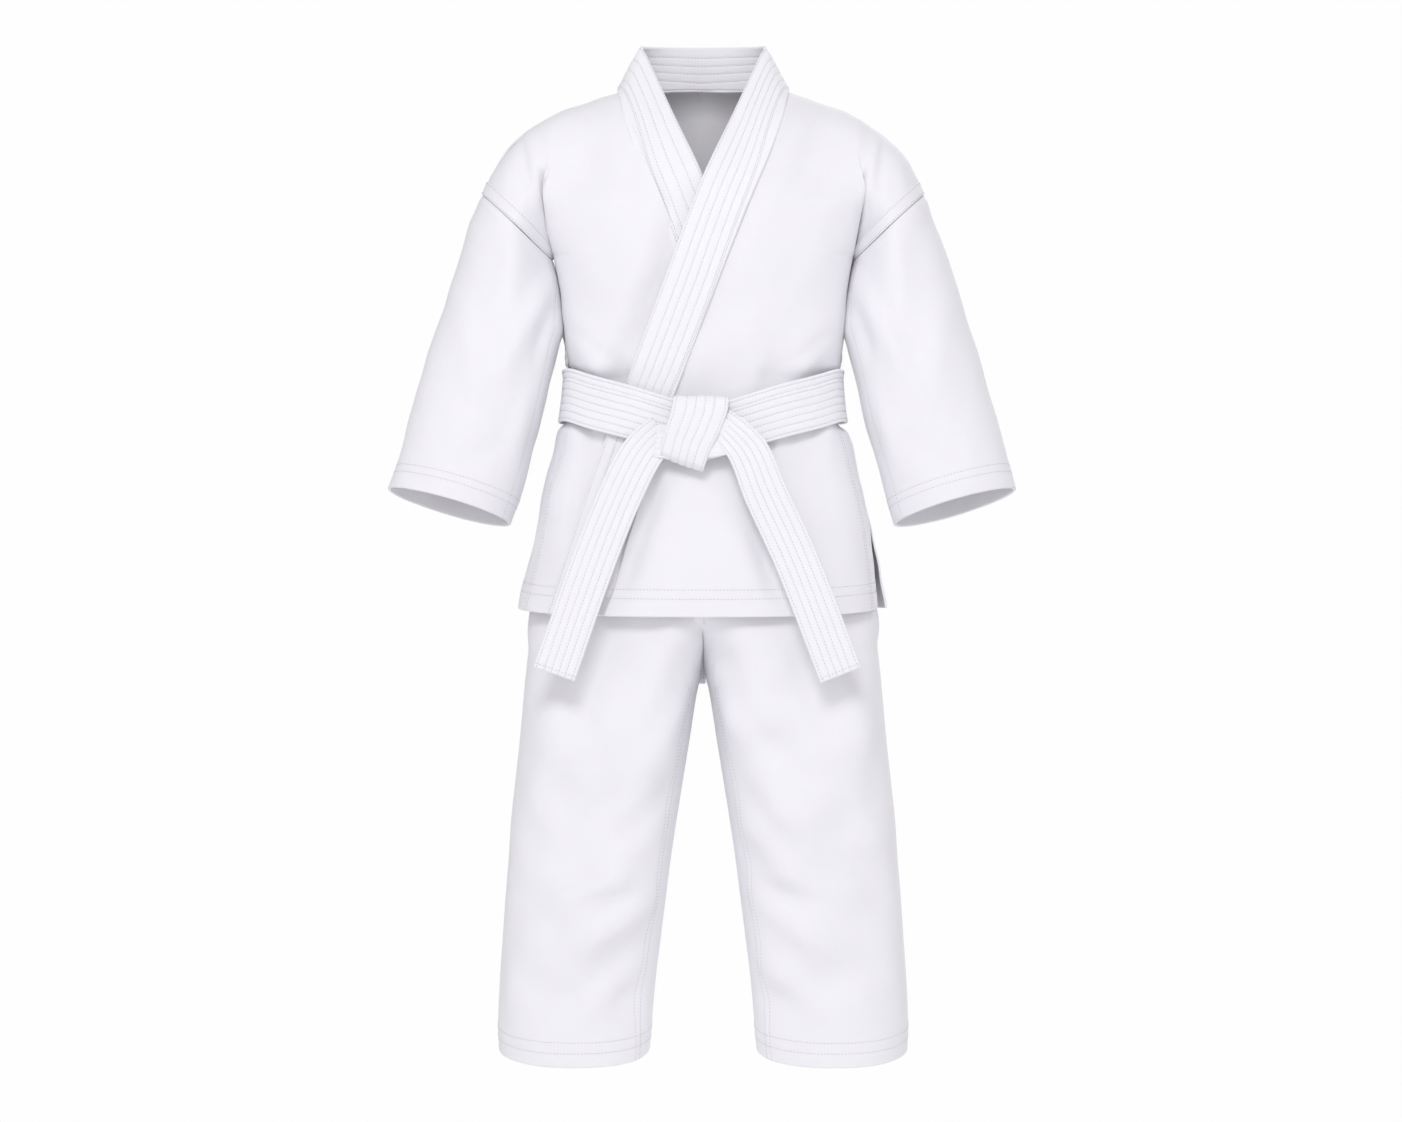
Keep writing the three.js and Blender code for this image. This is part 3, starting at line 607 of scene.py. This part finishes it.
for d in collar["bandRows"]:
    sew("stitch_lapels", lineOn(made, d, 0, True))
    sew("stitch_lapels", lineOn(made, d, 0, True, "low"))
for x in collar["tacks"]:  # two short tacks in darker thread just under the band, inside the back
    z = np.linspace(8.6, 4.4, 6)
    place = np.stack([x + 0.15 * (8.6 - z), depthAt(1, np.full(6, abs(x)), z) - 3.6, z], -1)
    sew("neck_tacks", (place, np.tile([0.0, -1.0, 0.0], (6, 1))), 1.9)
print("collar made")


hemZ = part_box("left_back_hem")[0].z * 1000
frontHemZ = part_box("left_front_hem")[0].z * 1000
skirts = {"top": -286.0, "hemRows": (25, 16.5), "ventRows": (37, 41)}
skirtFolds = [((112, -325), (140, -450), 13, 3.0), ((37, -352), (72, -468), 13, -6.5),
              ((-40, -345), (-80, -466), 13, -7.0), ((30, -350), (20, -440), 20, 1.4)]


# A ring round the body is a rounded oval: cosine and sine of the angle, each raised to a power with
# its sign kept, times half the width and the depth at that height.
def ring(angle, z, offset, halfTable=jacket["halfWidth"], power=2 / 2.7):
    half = ease(halfTable, z) + offset
    depth = np.where(np.sin(angle) > 0, ease(jacket["frontDepth"], z), ease(jacket["backDepth"], z)) + offset
    x = half * np.sign(np.cos(angle)) * np.abs(np.cos(angle)) ** power
    y = -depth * np.sign(np.sin(angle)) * np.abs(np.sin(angle)) ** power
    return x, y


def angleAt(x, z, offset):  # the angle at which that ring reaches x
    share = np.clip(x / (ease(jacket["halfWidth"], z) + offset), -1, 1)
    return np.arccos(np.sign(share) * np.abs(share) ** 1.35)


# Rows run down from the belt to the hem, columns round the ring from the side vent to where the skirt ends.
def skirt(side, face, reach, offset, slim):
    v, u = spread(120, 195), spread(110, 180)
    z = mix(skirts["top"], hemZ, v)[:, None] + 0 * u[None]
    last = angleAt(reach(z), z, offset) if face < 0 else np.full_like(z, -math.pi / 2 - 0.004)
    first = -face * 0.003
    angle = mix(first, last, u[None])
    narrow = [[a, b - slim * float(step(-385, -475, a) if slim > 0 else 1)] for a, b in jacket["halfWidth"]]
    x, y = ring(angle, z, offset, narrow)
    ahead = np.clip(np.sin(angle), 0, 1) if face < 0 else 0 * angle
    dip = (hemZ - frontHemZ) * ahead * v[:, None]
    grid = np.stack([side * x, y, z - dip], -1)
    beltLow = -338 + 42 * np.clip(np.abs(x) / 122, 0, 1) if face < 0 else -300 + 0 * x
    gather = np.exp(-np.clip(beltLow - z, 0, 400) / 26)
    shift = gather * (2.2 * np.cos(x / 6.3 + side) + 1.3 * np.cos(x / 3.9 + 2)) * step(16, 40, np.abs(x))
    shift = shift + 0.9 * ripple(grid[..., 0], z, 85, 61 + face + side) + 0.3 * ripple(grid[..., 0], z, 30, 65)
    if face < 0:
        shift = shift + sum(crease(x, z, *fold) for fold in skirtFolds)
    shift = shift * step(3, 30, np.abs(np.abs(x) - 0.4) + 30 * (face < 0))
    return grid, shift, z - dip - (hemZ - (hemZ - frontHemZ) * ahead)


def dressHem(left):  # the hem is double, so it stands a little proud above its two rows of stitches
    return 0.45 * (1 - step(26, 28, left)) + grooves(left, skirts["hemRows"], 0.9, 0.35)


for side in (1, -1):
    word = names[side]
    reach = (lambda z: ease(jacket["lapelSeam"], z) + 1.5) if side > 0 else (lambda z: -62 + 0 * z)
    grid, shift, left = skirt(side, -1, reach, -1 if side > 0 else -6.4, 9 if side > 0 else -5.4)
    made = slab(f"{word}_front_skirt", grid, (0, -1, 0), 1.0, canvas, dressHem(left), shift=shift)
    pieces[f"{word}_front_skirt"] = made
    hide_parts(f"{word}_front_skirt", f"{word}_front_flap", f"{word}_front_hem")
    for d in skirts["hemRows"]:
        sew("stitch_front_skirt", lineOn(made, 400 - d, 0, ruler=400 - left))
    for d in skirts["ventRows"]:
        sew("stitch_front_skirt", lineOn(made, d), keep=slice(20, None))
    grid, shift, left = skirt(side, 1, None, -1, 0)
    made = slab(f"{word}_back_skirt", grid, (0, 1, 0), 1.0, canvas, dressHem(left), shift=shift)
    pieces[f"{word}_back_skirt"] = made
    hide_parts(f"{word}_back_skirt", f"{word}_back_flap", f"{word}_back_hem")
    for d in skirts["hemRows"]:
        sew("stitch_back_skirt", lineOn(made, 400 - d, 0, ruler=400 - left))

# the left lapel goes on below the belt, on top of the left skirt
v, u = spread(110, 195), spread(74, 47, 1.8)
z = mix(skirts["top"] - 4, frontHemZ - 0.5, v)[:, None] + 0 * u[None]
x = mix(ease(jacket["lapelSeam"], z), ease(jacket["lapelEdge"], z), u[None])
angle = angleAt(x, z, 2.2)
px, py = ring(angle, z, 2.2)
grid = np.stack([px, py, z + 0.06 * np.clip(-px - 90, 0, 90) * v[:, None]], -1)
relief = quilt(grid, collar["rows"][1])
made = slab("left_lapel_lower", grid, (0, -1, 0), 1.7, quilted, relief)
pieces["left_lapel_lower"] = made
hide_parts("left_lapel_waist", "left_lapel_end")
for d in (*collar["rows"][1], 2.2):
    sew("stitch_front_skirt", lineOn(made, d, 1, True))
print("skirts made")

belt = {  # heights of its middle at the side and in front; half its width as a table; how far each wrap stands off
    "side": -277.0, "front": -316.5, "wide": 40.0, "rows": (3, 9.8, 16.6, 23.4, 30.2, 37), "sheet": 1.7,
    "half": [[-250, 120.5], [-263, 118.5], [-282, 119.5], [-300, 122], [-345, 132]],
    "wraps": (("belt_inner_wrap", 6.7, -3.0), ("belt_outer_wrap", 10.8, 6.0)),
}
for name, lift, low in belt["wraps"]:
    turn = np.linspace(0, 2 * math.pi, 420, endpoint=False)
    w = spread(62, belt["wide"], 1.7)
    frontness = np.where(np.sin(turn) > 0, 1 - np.abs(np.cos(turn)) ** 0.75, 0)
    soft = (frontness ** 4 + 0.06 ** 4) ** 0.25 - 0.06
    z = (mix(belt["side"], belt["front"], soft) - low)[None] + (0.5 - w[:, None]) * belt["wide"]
    swell = 3.7 * (1 - step(0.16, 0.3, w)) if low < 0 else 0 * w  # over the outer wrap's edge
    x, y = ring(turn[None] + 0 * z, z, lift + swell[:, None], belt["half"])
    sag = 0.5 * ripple(turn[None] * 130 + 0 * z, z, 70, 71 + int(low))
    grid = np.stack([x, y, z + 0.6 * ripple(turn * 130, 0 * turn, 120, 75)[None]], -1)
    relief = grooves(w[:, None] * belt["wide"] + 0 * z, belt["rows"])
    out = grid * np.array([1, 1, 0])
    made = slab(name, grid, out, belt["sheet"], beltCloth, relief, 0.3 * relief, wrap=True, shift=sag * 0.5)
    pieces[name] = made
    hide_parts(name)
    for d in belt["rows"]:
        sew("stitch_belt", lineOn(made, d, 0))


# A flat strap: its middle follows a path, and at each place its width lies along a direction across it.
def strap(shape, count, stations):
    v, w = spread(count, stations), spread(62, 40, 1.7)
    at = np.linspace(0, 1, len(shape["path"]))
    path, across = np.array(shape["path"], float), np.array(shape["across"], float)
    middle = np.stack([ease(np.stack([at, path[:, i]], -1).tolist(), v) for i in range(3)], -1)
    cross = np.stack([ease(np.stack([at, across[:, i]], -1).tolist(), v) for i in range(3)], -1)
    cross /= np.linalg.norm(cross, axis=1, keepdims=True)
    size = np.interp(v, at, shape["width"])
    return middle[:, None] + cross[:, None] * ((w[None] - 0.5) * size[:, None])[..., None], w, v


face = -(float(ease(jacket["frontDepth"], -325)) + 12.6)  # front of the outer wrap in the middle
knotTurn = {  # over the core from behind the belt and back under it
    "path": [(-2, face + 1, -281), (-2, face - 5, -283.5), (-3, face - 9.5, -292), (-8, face - 10.5, -307),
             (-15, face - 10, -324), (-19, face - 6.5, -338), (-20, face + 0.5, -342), (-19, face + 4, -338)],
    "across": [(1, 0, -0.02), (1, 0, -0.02), (1, 0.02, -0.06), (1, 0.05, -0.16), (1, 0.02, -0.28),
               (1, 0, -0.36), (1, 0, -0.38), (1, 0, -0.38)],
    "width": [50, 51, 51, 49, 45, 43, 43, 43],
}
grid, w, v = strap(knotTurn, 90, 90)
relief = grooves(w[None] * 40 + 0 * v[:, None], belt["rows"][1:-1])
bow = -1.2 * (2 * w[None] - 1) ** 2 + 0 * v[:, None] + 0.4 * ripple(grid[..., 0], grid[..., 2], 26, 81)
made = slab("belt_knot_wrap", grid, (0, -1, 0), 1.8, beltCloth, relief, shift=bow)
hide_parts("belt_knot_wrap")
pieces["belt_knot_wrap"] = made
for d in (0.06, *(np.array(belt["rows"][1:-1]) / 40), 0.94):
    k = int(round(np.interp(d, w, np.arange(len(w)))))
    sew("stitch_belt", (made["top"][:, k], made["normal"][:, k]))
knotCore = {  # under the turn, from one tail to the other
    "path": [(-44, face - 1.5, -322), (-20, face - 4.5, -322), (6, face - 5, -320), (30, face - 3.5, -316),
             (44, face - 1, -311)],
    "across": [(0.12, 0, 1), (0.04, 0, 1), (-0.05, 0, 1), (-0.3, 0, 1), (-0.5, 0, 1)],
    "width": [30, 33, 34, 32, 26],
}
grid, w, v = strap(knotCore, 70, 90)
relief = grooves(w[None] * 40 + 0 * v[:, None], belt["rows"])
bow = 0.5 * ripple(grid[..., 0], grid[..., 2], 20, 83)
made = slab("belt_knot_core", grid, (0, -1, 0), 2.4, beltCloth, relief, shift=bow)
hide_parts("belt_knot_core")
pieces["belt_knot_core"] = made

# the line down the middle of each tail and its width there, and how far in front of the side plane it hangs
tails = {
    1: {"line": [(14, -304), (30, -318), (42, -333), (56, -367), (84, -428), (126, -536)],
        "width": [30, 34, 38, 40, 40, 40], "start": [face - 3.5, face - 7.5, face - 9.0]},
    -1: {"line": [(36, -312), (47, -322), (57, -334), (70, -358), (94, -415), (136.5, -535)],
         "width": [34, 37, 39, 40, 40, 40], "start": [face + 3.0, face - 0.5, face - 4.0]},
}
for side, tail in tails.items():
    line = np.array(tail["line"], float)
    run = np.concatenate([[0], np.cumsum(np.linalg.norm(np.diff(line, axis=0), axis=1))])
    run /= run[-1]
    v = spread(150, 245)
    px, pz = (ease(np.stack([run, line[:, i]], -1).tolist(), v) for i in range(2))
    size = np.interp(v, run, tail["width"])
    dx, dz = np.gradient(px, v), np.gradient(pz, v)
    length = np.hypot(dx, dz)
    front = [*zip((0, 0.1, 0.22), tail["start"]), (0.5, -98), (0.8, -102.5), (1, -104.5)]
    py = ease(front, v)
    w = spread(62, 40, 1.7)
    off = (w[None] - 0.5) * size[:, None]
    cup = 1.1 * (2 * w[None] - 1) ** 2 * step(0.2, 0.5, v)[:, None]
    x = side * (px[:, None] - off * (dz / length)[:, None])
    z = pz[:, None] + off * (dx / length)[:, None]
    grid = np.stack([x, py[:, None] + cup + 0 * off, z], -1)
    grid[..., 1] += 0.8 * np.sin(v * 5 + side)[:, None] * step(0.2, 0.5, v)[:, None]
    relief = grooves(w[None] * 40 + 0 * v[:, None], belt["rows"])
    word = names[side]
    made = slab(f"{word}_tail", grid, (0, -1, 0), belt["sheet"], beltCloth, relief, relief)
    pieces[f"{word}_tail"] = made
    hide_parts(f"{word}_tail_root", f"{word}_belt_tail")
    for d in belt["rows"]:
        k = int(round(np.interp(d / 40, w, np.arange(len(w)))))
        sew(f"stitch_{word}_tail", (made["top"][:, k], made["normal"][:, k]))
        sew(f"stitch_{word}_tail", (made["low"][:, k], -made["normal"][:, k]))
    sew(f"stitch_{word}_tail", lineOn(made, 4, 0, True))
print("belt made")

ties = {"wide": 12, "lift": {"outer": 1.8, "inner": -4.4}, "heights": (-271, -287)}  # hidden under the belt
for side in (1, -1):
    for kind, lift in ties["lift"].items():
        middle = ties["heights"][0 if (side > 0) == (kind == "outer") else 1]
        w, v = spread(8, 12, 0.6), spread(60, 60, 0.6)
        z = middle + (0.5 - w[:, None]) * ties["wide"] + 0 * v[None]
        angle = mix(angleAt(-86 + 0 * z, z, lift), math.pi - 0.12, v[None])
        x, y = ring(angle, z, lift)
        name = f"{names[side]}_{kind}_tie"
        made = slab(name, np.stack([x if kind == "outer" else -x, y, z], -1), (0, -1, 0), 0.6, canvas)
        pieces[name] = made
        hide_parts(name)
print("ties made")

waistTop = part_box("waistband_casing")[1].z * 1000
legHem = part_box("left_leg_hem")[0].z * 1000 + 8
trousers = {  # tables run from a height to a length; the fork opens between the two heights
    "hipHalf": [[-290, 108], [-334, 110], [-379, 127], [-430, 141], [-484, 158.5], [-510, 161], [-538, 164],
                [-560, 166]],
    "outer": [[-290, 108], [-334, 110], [-379, 127], [-430, 141], [-484, 158.5], [-510, 161], [-538, 164],
              [-598, 169.5], [-635, 173.5], [-672, 177.5], [-710, 180], [-747, 183], [-784, 185.5], [-821, 188],
              [-858, 189.5], [-892, 188]],
    "inner": [[-290, 0.4], [-515, 0.6], [-538, 3], [-551, 6.2], [-598, 13.7], [-635, 19.7], [-672, 25.7],
              [-710, 31.3], [-747, 36], [-784, 40.7], [-821, 45.2], [-858, 48.5], [-892, 51.7]],
    "front": [[-290, 58], [-334, 62], [-379, 72], [-430, 78], [-500, 81], [-533, 80], [-598, 78], [-672, 74],
              [-747, 70], [-821, 67], [-900, 65]],
    "back": [[-290, 58], [-334, 60], [-379, 70], [-430, 77], [-500, 80], [-533, 78], [-598, 76], [-672, 73],
             [-747, 70], [-821, 67], [-900, 65]],
    "fork": (-474, -538), "hemRows": (23, 13), "inseamRows": (43, 50),
}
legCreases = [
    ((18, -560), (70, -640), 13, 3.0), ((22, -600), (96, -690), 14, 2.6), ((30, -660), (110, -745), 15, 2.3),
    ((40, -735), (118, -795), 13, 2.2), ((52, -800), (130, -862), 13, 1.8), ((30, -500), (62, -590), 15, 2.2),
    ((96, -500), (112, -590), 17, -2.0), ((140, -560), (150, -700), 18, 1.6), ((66, -720), (140, -742), 11, 1.5),
]


def legFolds(x, z, seed):  # soft noise, and long folds that fan out from the crotch and the knee
    made = 1.6 * ripple(x, z, 120, seed) + 0.5 * ripple(x, z, 44, seed + 1)
    return made + sum(crease(x, z, *fold) for fold in legCreases)


# Above the fork each half is a quarter of a rounded oval, and below it half of the leg's own oval.
for side in (1, -1):
    word = names[side]
    for face, panel in ((-1, "front"), (1, "back")):
        v, u = spread(210, 560), spread(96, 200)
        turn = mix(math.pi, 0, u)
        z = mix(waistTop - 33, legHem, v)[:, None] + 0 * u[None]
        low, high = ease(trousers["inner"], z), ease(trousers["outer"], z)
        middle, half = (low + high) / 2, (high - low) / 2
        swing, bulge = np.cos(turn)[None], np.abs(np.sin(turn))[None]
        x = middle + half * np.sign(swing) * np.abs(swing) ** 0.83
        depth = ease(trousers[panel], z)
        hip = depth * (1 - np.clip(x / ease(trousers["hipHalf"], z), 0, 1) ** 2.4) ** (1 / 2.4)
        leg = depth * bulge ** 0.83
        join = step(*trousers["fork"], z)
        y = mix(hip, leg, join)
        drop = (14 if face < 0 else 3) * bulge * step(0.9, 1, v)[:, None]
        gather = np.exp(-np.clip(waistTop - 33 - z, 0, 500) / 26) * 1.4 * np.cos(x / 3.1)
        folds = legFolds(x, z, 91 + side + 7 * face) * step(-400, -490, z) * (1 if face < 0 else 0.6)
        calm = (1 - 0.75 * step(legHem + 60, legHem + 10, z)) * step(0.3, 0.85, bulge + 1 - join)
        lap = 1.3 * (1 - step(0, 0.16, bulge))  # front and back overlap a little along the seams
        grid = np.stack([side * x, face * (y + 0.5 - lap), z - drop], -1)
        across, down = gathered(grid)
        left = down[-1:] - down
        hem = 0.45 * (1 - step(26, 28, left)) + grooves(left, trousers["hemRows"], 0.9, 0.35)
        felled = 0.3 * step(42, 44, across) * (1 - step(49, 51, across))
        seams = (grooves(across, trousers["inseamRows"], 0.9, 0.4) + felled) * join
        name = f"{word}_trouser_{panel}"
        made = slab(name, grid, (0, face, 0), 1.0, canvas, hem + seams, hem, shift=2.7 * folds * calm + gather)
        pieces[name] = made
        hems = [f"{word}_leg_hem"] if face < 0 else []
        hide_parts(f"{word}_hip_{panel}", f"{word}_leg_{panel}", *hems)
        for d in trousers["hemRows"]:
            sew(f"stitch_{word}_leg", lineOn(made, d, 0, True))
        for d in trousers["inseamRows"]:
            sew(f"stitch_{word}_leg", lineOn(made, d, 1), keep=grid[:, 40, 2] < -545)

# the gusset runs down the fork, under it and up behind
gusset = {"width": 12.5, "low": -545, "rise": 95, "sheet": 0.8}
v, u = spread(120, 300), spread(12, 14, 1)
back = mix(-1, 1, v)
z = gusset["low"] + gusset["rise"] * np.abs(back) ** 1.6
fork = np.where(back < 0, ease(trousers["front"], z), ease(trousers["back"], z)) * (1 - step(*trousers["fork"], z))
y = np.sign(back) * (fork + 2.4) * step(0, 0.12, np.abs(back))
x = (u[None] - 0.5) * gusset["width"] - 4 + 0 * y[:, None]
grid = np.stack([x, y[:, None] + 0 * x, z[:, None] + 0 * x], -1)
out = np.stack([0 * y, np.sign(back), -0.2 + 0 * y], -1)[:, None]
made = slab("crotch_gusset", grid, out, gusset["sheet"], canvas)
pieces["crotch_gusset"] = made
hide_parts("crotch_gusset")
for last in (False, True):
    sew("stitch_waist", lineOn(made, 1.6, 1, last))

# the waistband is gathered over the elastic inside it
waistband = {"height": 34, "rows": (6, 28), "puckers": 64, "pucker": 1.3, "sheet": 2.6, "half": 108, "depth": 58}
turn = np.linspace(0, 2 * math.pi, 480, endpoint=False)
w = spread(30, 34, 1.4)
z = waistTop - w * waistband["height"]
half, depth = waistband["half"] + 2 * w, waistband["depth"] + 3 * w
pucker = waistband["pucker"] * np.cos(waistband["puckers"] * turn + 0.9 * np.sin(5 * turn))
grid = np.stack([half[:, None] * np.sign(np.cos(turn)) * np.abs(np.cos(turn)) ** 0.83,
                 -depth[:, None] * np.sign(np.sin(turn)) * np.abs(np.sin(turn)) ** 0.83, z[:, None] + 0 * turn], -1)
out = grid * np.array([1, 1, 0])
relief = grooves(w[:, None] * waistband["height"] + 0 * turn, waistband["rows"], 1.1, 0.9)
shift = pucker[None] * np.sin(np.pi * w)[:, None] ** 0.4
made = slab("waistband", grid, out, waistband["sheet"], canvas, relief, wrap=True, shift=shift)
pieces["waistband"] = made
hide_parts("waistband_casing", "waist_elastic", "waistband_lining")
for d in waistband["rows"]:
    sew("stitch_waist", lineOn(made, d, 0))
print("trousers made")


def shoulderBlend(obj, side):  # the cloth over the shoulder, from the body out to the dropped seam; only its placement is baked into its mesh
    side * 0.128
    side * 0.166
    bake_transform(obj)


def armpitBlend(obj, side):  # the sleeve below the seam; only its placement is baked into its mesh
    side * 0.1356
    side * 0.1557
    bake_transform(obj)


def flapBlend(obj):  # a skirt; only its placement is baked into its mesh
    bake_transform(obj)


for side in (1, -1):
    word = names[side]
    for name in (f"{word}_front", f"{word}_back", f"{word}_seam_band"):
        shoulderBlend(pieces[name]["object"], side)
    armpitBlend(pieces[f"{word}_sleeve"]["object"], side)
    flapBlend(pieces[f"{word}_front_skirt"]["object"])
    flapBlend(pieces[f"{word}_back_skirt"]["object"])
    shoulderBlend(makeThreads(f"stitch_{word}_armhole", thread), side)
    armpitBlend(makeThreads(f"stitch_{word}_sleeve", thread), side)
    for obj in (pieces[f"{word}_tail"]["object"], makeThreads(f"stitch_{word}_tail", thread)):
        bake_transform(obj)
    panels = [pieces[f"{word}_trouser_{panel}"]["object"] for panel in ("front", "back")]
    for obj in (*panels, makeThreads(f"stitch_{word}_leg", thread)):
        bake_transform(obj)
flapBlend(pieces["left_lapel_lower"]["object"])
flapBlend(makeThreads("stitch_front_skirt", thread))
flapBlend(makeThreads("stitch_back_skirt", thread))
for name in ("left_lapel", "right_lapel", "neck_band", "belt_inner_wrap", "belt_outer_wrap", "belt_knot_wrap",
             "belt_knot_core", "left_outer_tie", "right_outer_tie", "left_inner_tie", "right_inner_tie"):
    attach(pieces[name]["object"], "jacket")
for name in ("stitch_body", "stitch_lapels", "stitch_belt"):
    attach(makeThreads(name, thread), "jacket")
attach(makeThreads("neck_tacks", darkThread), "jacket")
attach(pieces["waistband"]["object"], "trousers")
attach(pieces["crotch_gusset"]["object"], "trousers")
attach(makeThreads("stitch_waist", thread), "trousers")

for name, made in pieces.items():
    if "lapel" in name or name == "neck_band":
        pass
    else:
        "belt" if "belt" in name or "tail" in name else "canvas"

# The size each piece of cloth was cut to, in metres: width, length, area where it isn't a rectangle, and
# how it is held. Then what each piece rests on.
cut = {
    "front": (0.36, 0.37, 0.058, "hung"), "back": (0.32, 0.34, 0.064, "hung"), "sleeve": (0.33, 0.32, 0.091, "hung"),
    "seam_band": (0.29, 0.013, None, "folded"), "lapel": (0.05, 0.40, None, "folded"),
    "front_skirt": (0.31, 0.22, 0.055, "hung"), "back_skirt": (0.23, 0.21, 0.041, "hung"),
    "tail": (0.04, 0.27, None, "hung"), "outer_tie": (0.012, 0.061, None, "stretched"),
    "inner_tie": (0.012, 0.052, None, "stretched"), "trouser_front": (0.27, 0.62, 0.134, "hung"),
    "trouser_back": (0.26, 0.62, 0.131, "hung"), "neck_band": (0.05, 0.20, None, "folded"),
    "left_lapel_lower": (0.05, 0.21, None, "folded"), "belt_inner_wrap": (0.04, 0.70, None, "stretched"),
    "belt_outer_wrap": (0.04, 0.74, None, "stretched"), "belt_knot_wrap": (0.05, 0.084, None, "folded"),
    "belt_knot_core": (0.04, 0.10, None, "folded"), "crotch_gusset": (0.0125, 0.26, None, "stretched"),
    "waistband": (0.035, 0.66, None, "gathered"),
}
under = {
    "front": ["left_lapel", "neck_band"], "back": ["neck_band"], "sleeve": ["left_front", "left_back"],
    "seam_band": ["left_sleeve"], "lapel": ["left_front"], "front_skirt": ["left_front"], "back_skirt": ["left_back"],
    "tail": ["belt_knot_wrap"], "outer_tie": ["left_front"], "inner_tie": ["right_front"],
    "trouser_front": ["waistband"], "trouser_back": ["waistband"], "neck_band": ["left_back", "right_back"],
    "left_lapel_lower": ["left_front_skirt"], "belt_inner_wrap": ["left_front", "right_front"],
    "belt_outer_wrap": ["belt_inner_wrap"], "belt_knot_wrap": ["belt_outer_wrap"],
    "belt_knot_core": ["belt_outer_wrap"], "crotch_gusset": ["left_trouser_front", "right_trouser_front"],
    "waistband": ["left_trouser_front"],
}
for name, made in pieces.items():
    side, _, kind = name.partition("_")
    kind = name if name in cut else kind
    rests = [n if kind == name else n.replace("left_", side + "_") for n in under[kind]]
    rests = [pieces[n]["object"] for n in rests]


def roundGrid(name, points, material):  # points in millimetres, rings by turns, closed all the way round
    index = np.arange(points.shape[0] * points.shape[1]).reshape(points.shape[:2])
    index = np.hstack([index, index[:, :1]])
    faces = np.stack([index[:-1, :-1], index[1:, :-1], index[1:, 1:], index[:-1, 1:]], -1).reshape(-1, 4)
    return put(name, points.reshape(-1, 3), faces, points.reshape(-1, 3)[:, :2], material)


# The floor is a disc under the piece. The backdrop is a great white ball that only the camera sees.
studio = {"floorBelow": 0.30, "floorRings": [0.0002, 0.8, 1.6, 2.4], "ball": 20.0, "white": 0.99, "world": 0.52}
turn = np.linspace(0, 2 * math.pi, 97)[:-1]
near = np.array(studio["floorRings"])[:, None]
level = cadBounds[0].z - studio["floorBelow"] + 0 * near + 0 * turn
disc = np.stack([near * np.cos(turn), near * np.sin(turn), level], -1) * 1000
floor = roundGrid("floor", disc, plainLook("paper", (0.93, 0.93, 0.93, 1), 0.9))
rise = np.linspace(0.001, math.pi - 0.001, 49)[:, None]
ball = np.stack([np.sin(rise) * np.cos(turn), np.sin(rise) * np.sin(turn), np.cos(rise) + 0 * turn], -1)
paper = Look("backdrop")
paper.shader.inputs["Base Color"].default_value = (0, 0, 0, 1)
paper.shader.inputs["Specular IOR Level"].default_value = 0
paper.shader.inputs["Emission Color"].default_value = (*[studio["white"]] * 3, 1)
paper.shader.inputs["Emission Strength"].default_value = 1
backdrop = roundGrid("backdrop", ball * studio["ball"] * 1000, paper.material)
backdrop.visible_diffuse = backdrop.visible_glossy = backdrop.visible_shadow = False
backdrop.visible_transmission = backdrop.visible_volume_scatter = False


def lamp(name, where, target, size, power):  # a soft rectangular light, turned to its target
    data = bpy.data.lights.new(name, "AREA")
    data.shape, data.size, data.size_y, data.energy = "RECTANGLE", size[0], size[1], power
    made = bpy.data.objects.new(name, data)
    bpy.context.scene.collection.objects.link(made)
    made.location = where
    made.rotation_euler = (Vector(target) - Vector(where)).to_track_quat("-Z", "Y").to_euler()
    made.visible_camera = False


lamp("key", (-0.35, -2.75, 1.65), (0, 0, -0.45), (1.3, 0.9), 43)
lamp("low", (0, -3.4, -0.35), (0, 0, -0.35), (1.2, 1.0), 6)
lamp("fill_left", (-2.6, -1.4, -0.1), (0, 0, -0.45), (1.6, 2.2), 9)
lamp("fill_right", (2.6, -1.4, 0.1), (0, 0, -0.45), (1.6, 2.2), 10)
lamp("behind", (0.9, 2.6, 1.1), (0, 0, -0.45), (1.8, 1.4), 46)
print("stage and lamps made")
world = bpy.data.worlds.new("studio")
bpy.context.scene.world = world
world.use_nodes = True
sky = world.node_tree.nodes["Background"]
sky.inputs[0].default_value = (0.975, 0.97, 1.0, 1)
sky.inputs[1].default_value = studio["world"]

cameraData = bpy.data.cameras.new("camera")
cameraData.sensor_width, cameraData.lens = 36, 165.6
camera = bpy.data.objects.new("camera", cameraData)
bpy.context.scene.collection.objects.link(camera)
camera.location = (-0.002, -6.0, -0.4315)
camera.rotation_euler = (math.pi / 2, 0, 0)
cameraData.clip_end = 50
bpy.context.scene.camera = camera
bpy.context.scene.view_settings.view_transform = "Standard"
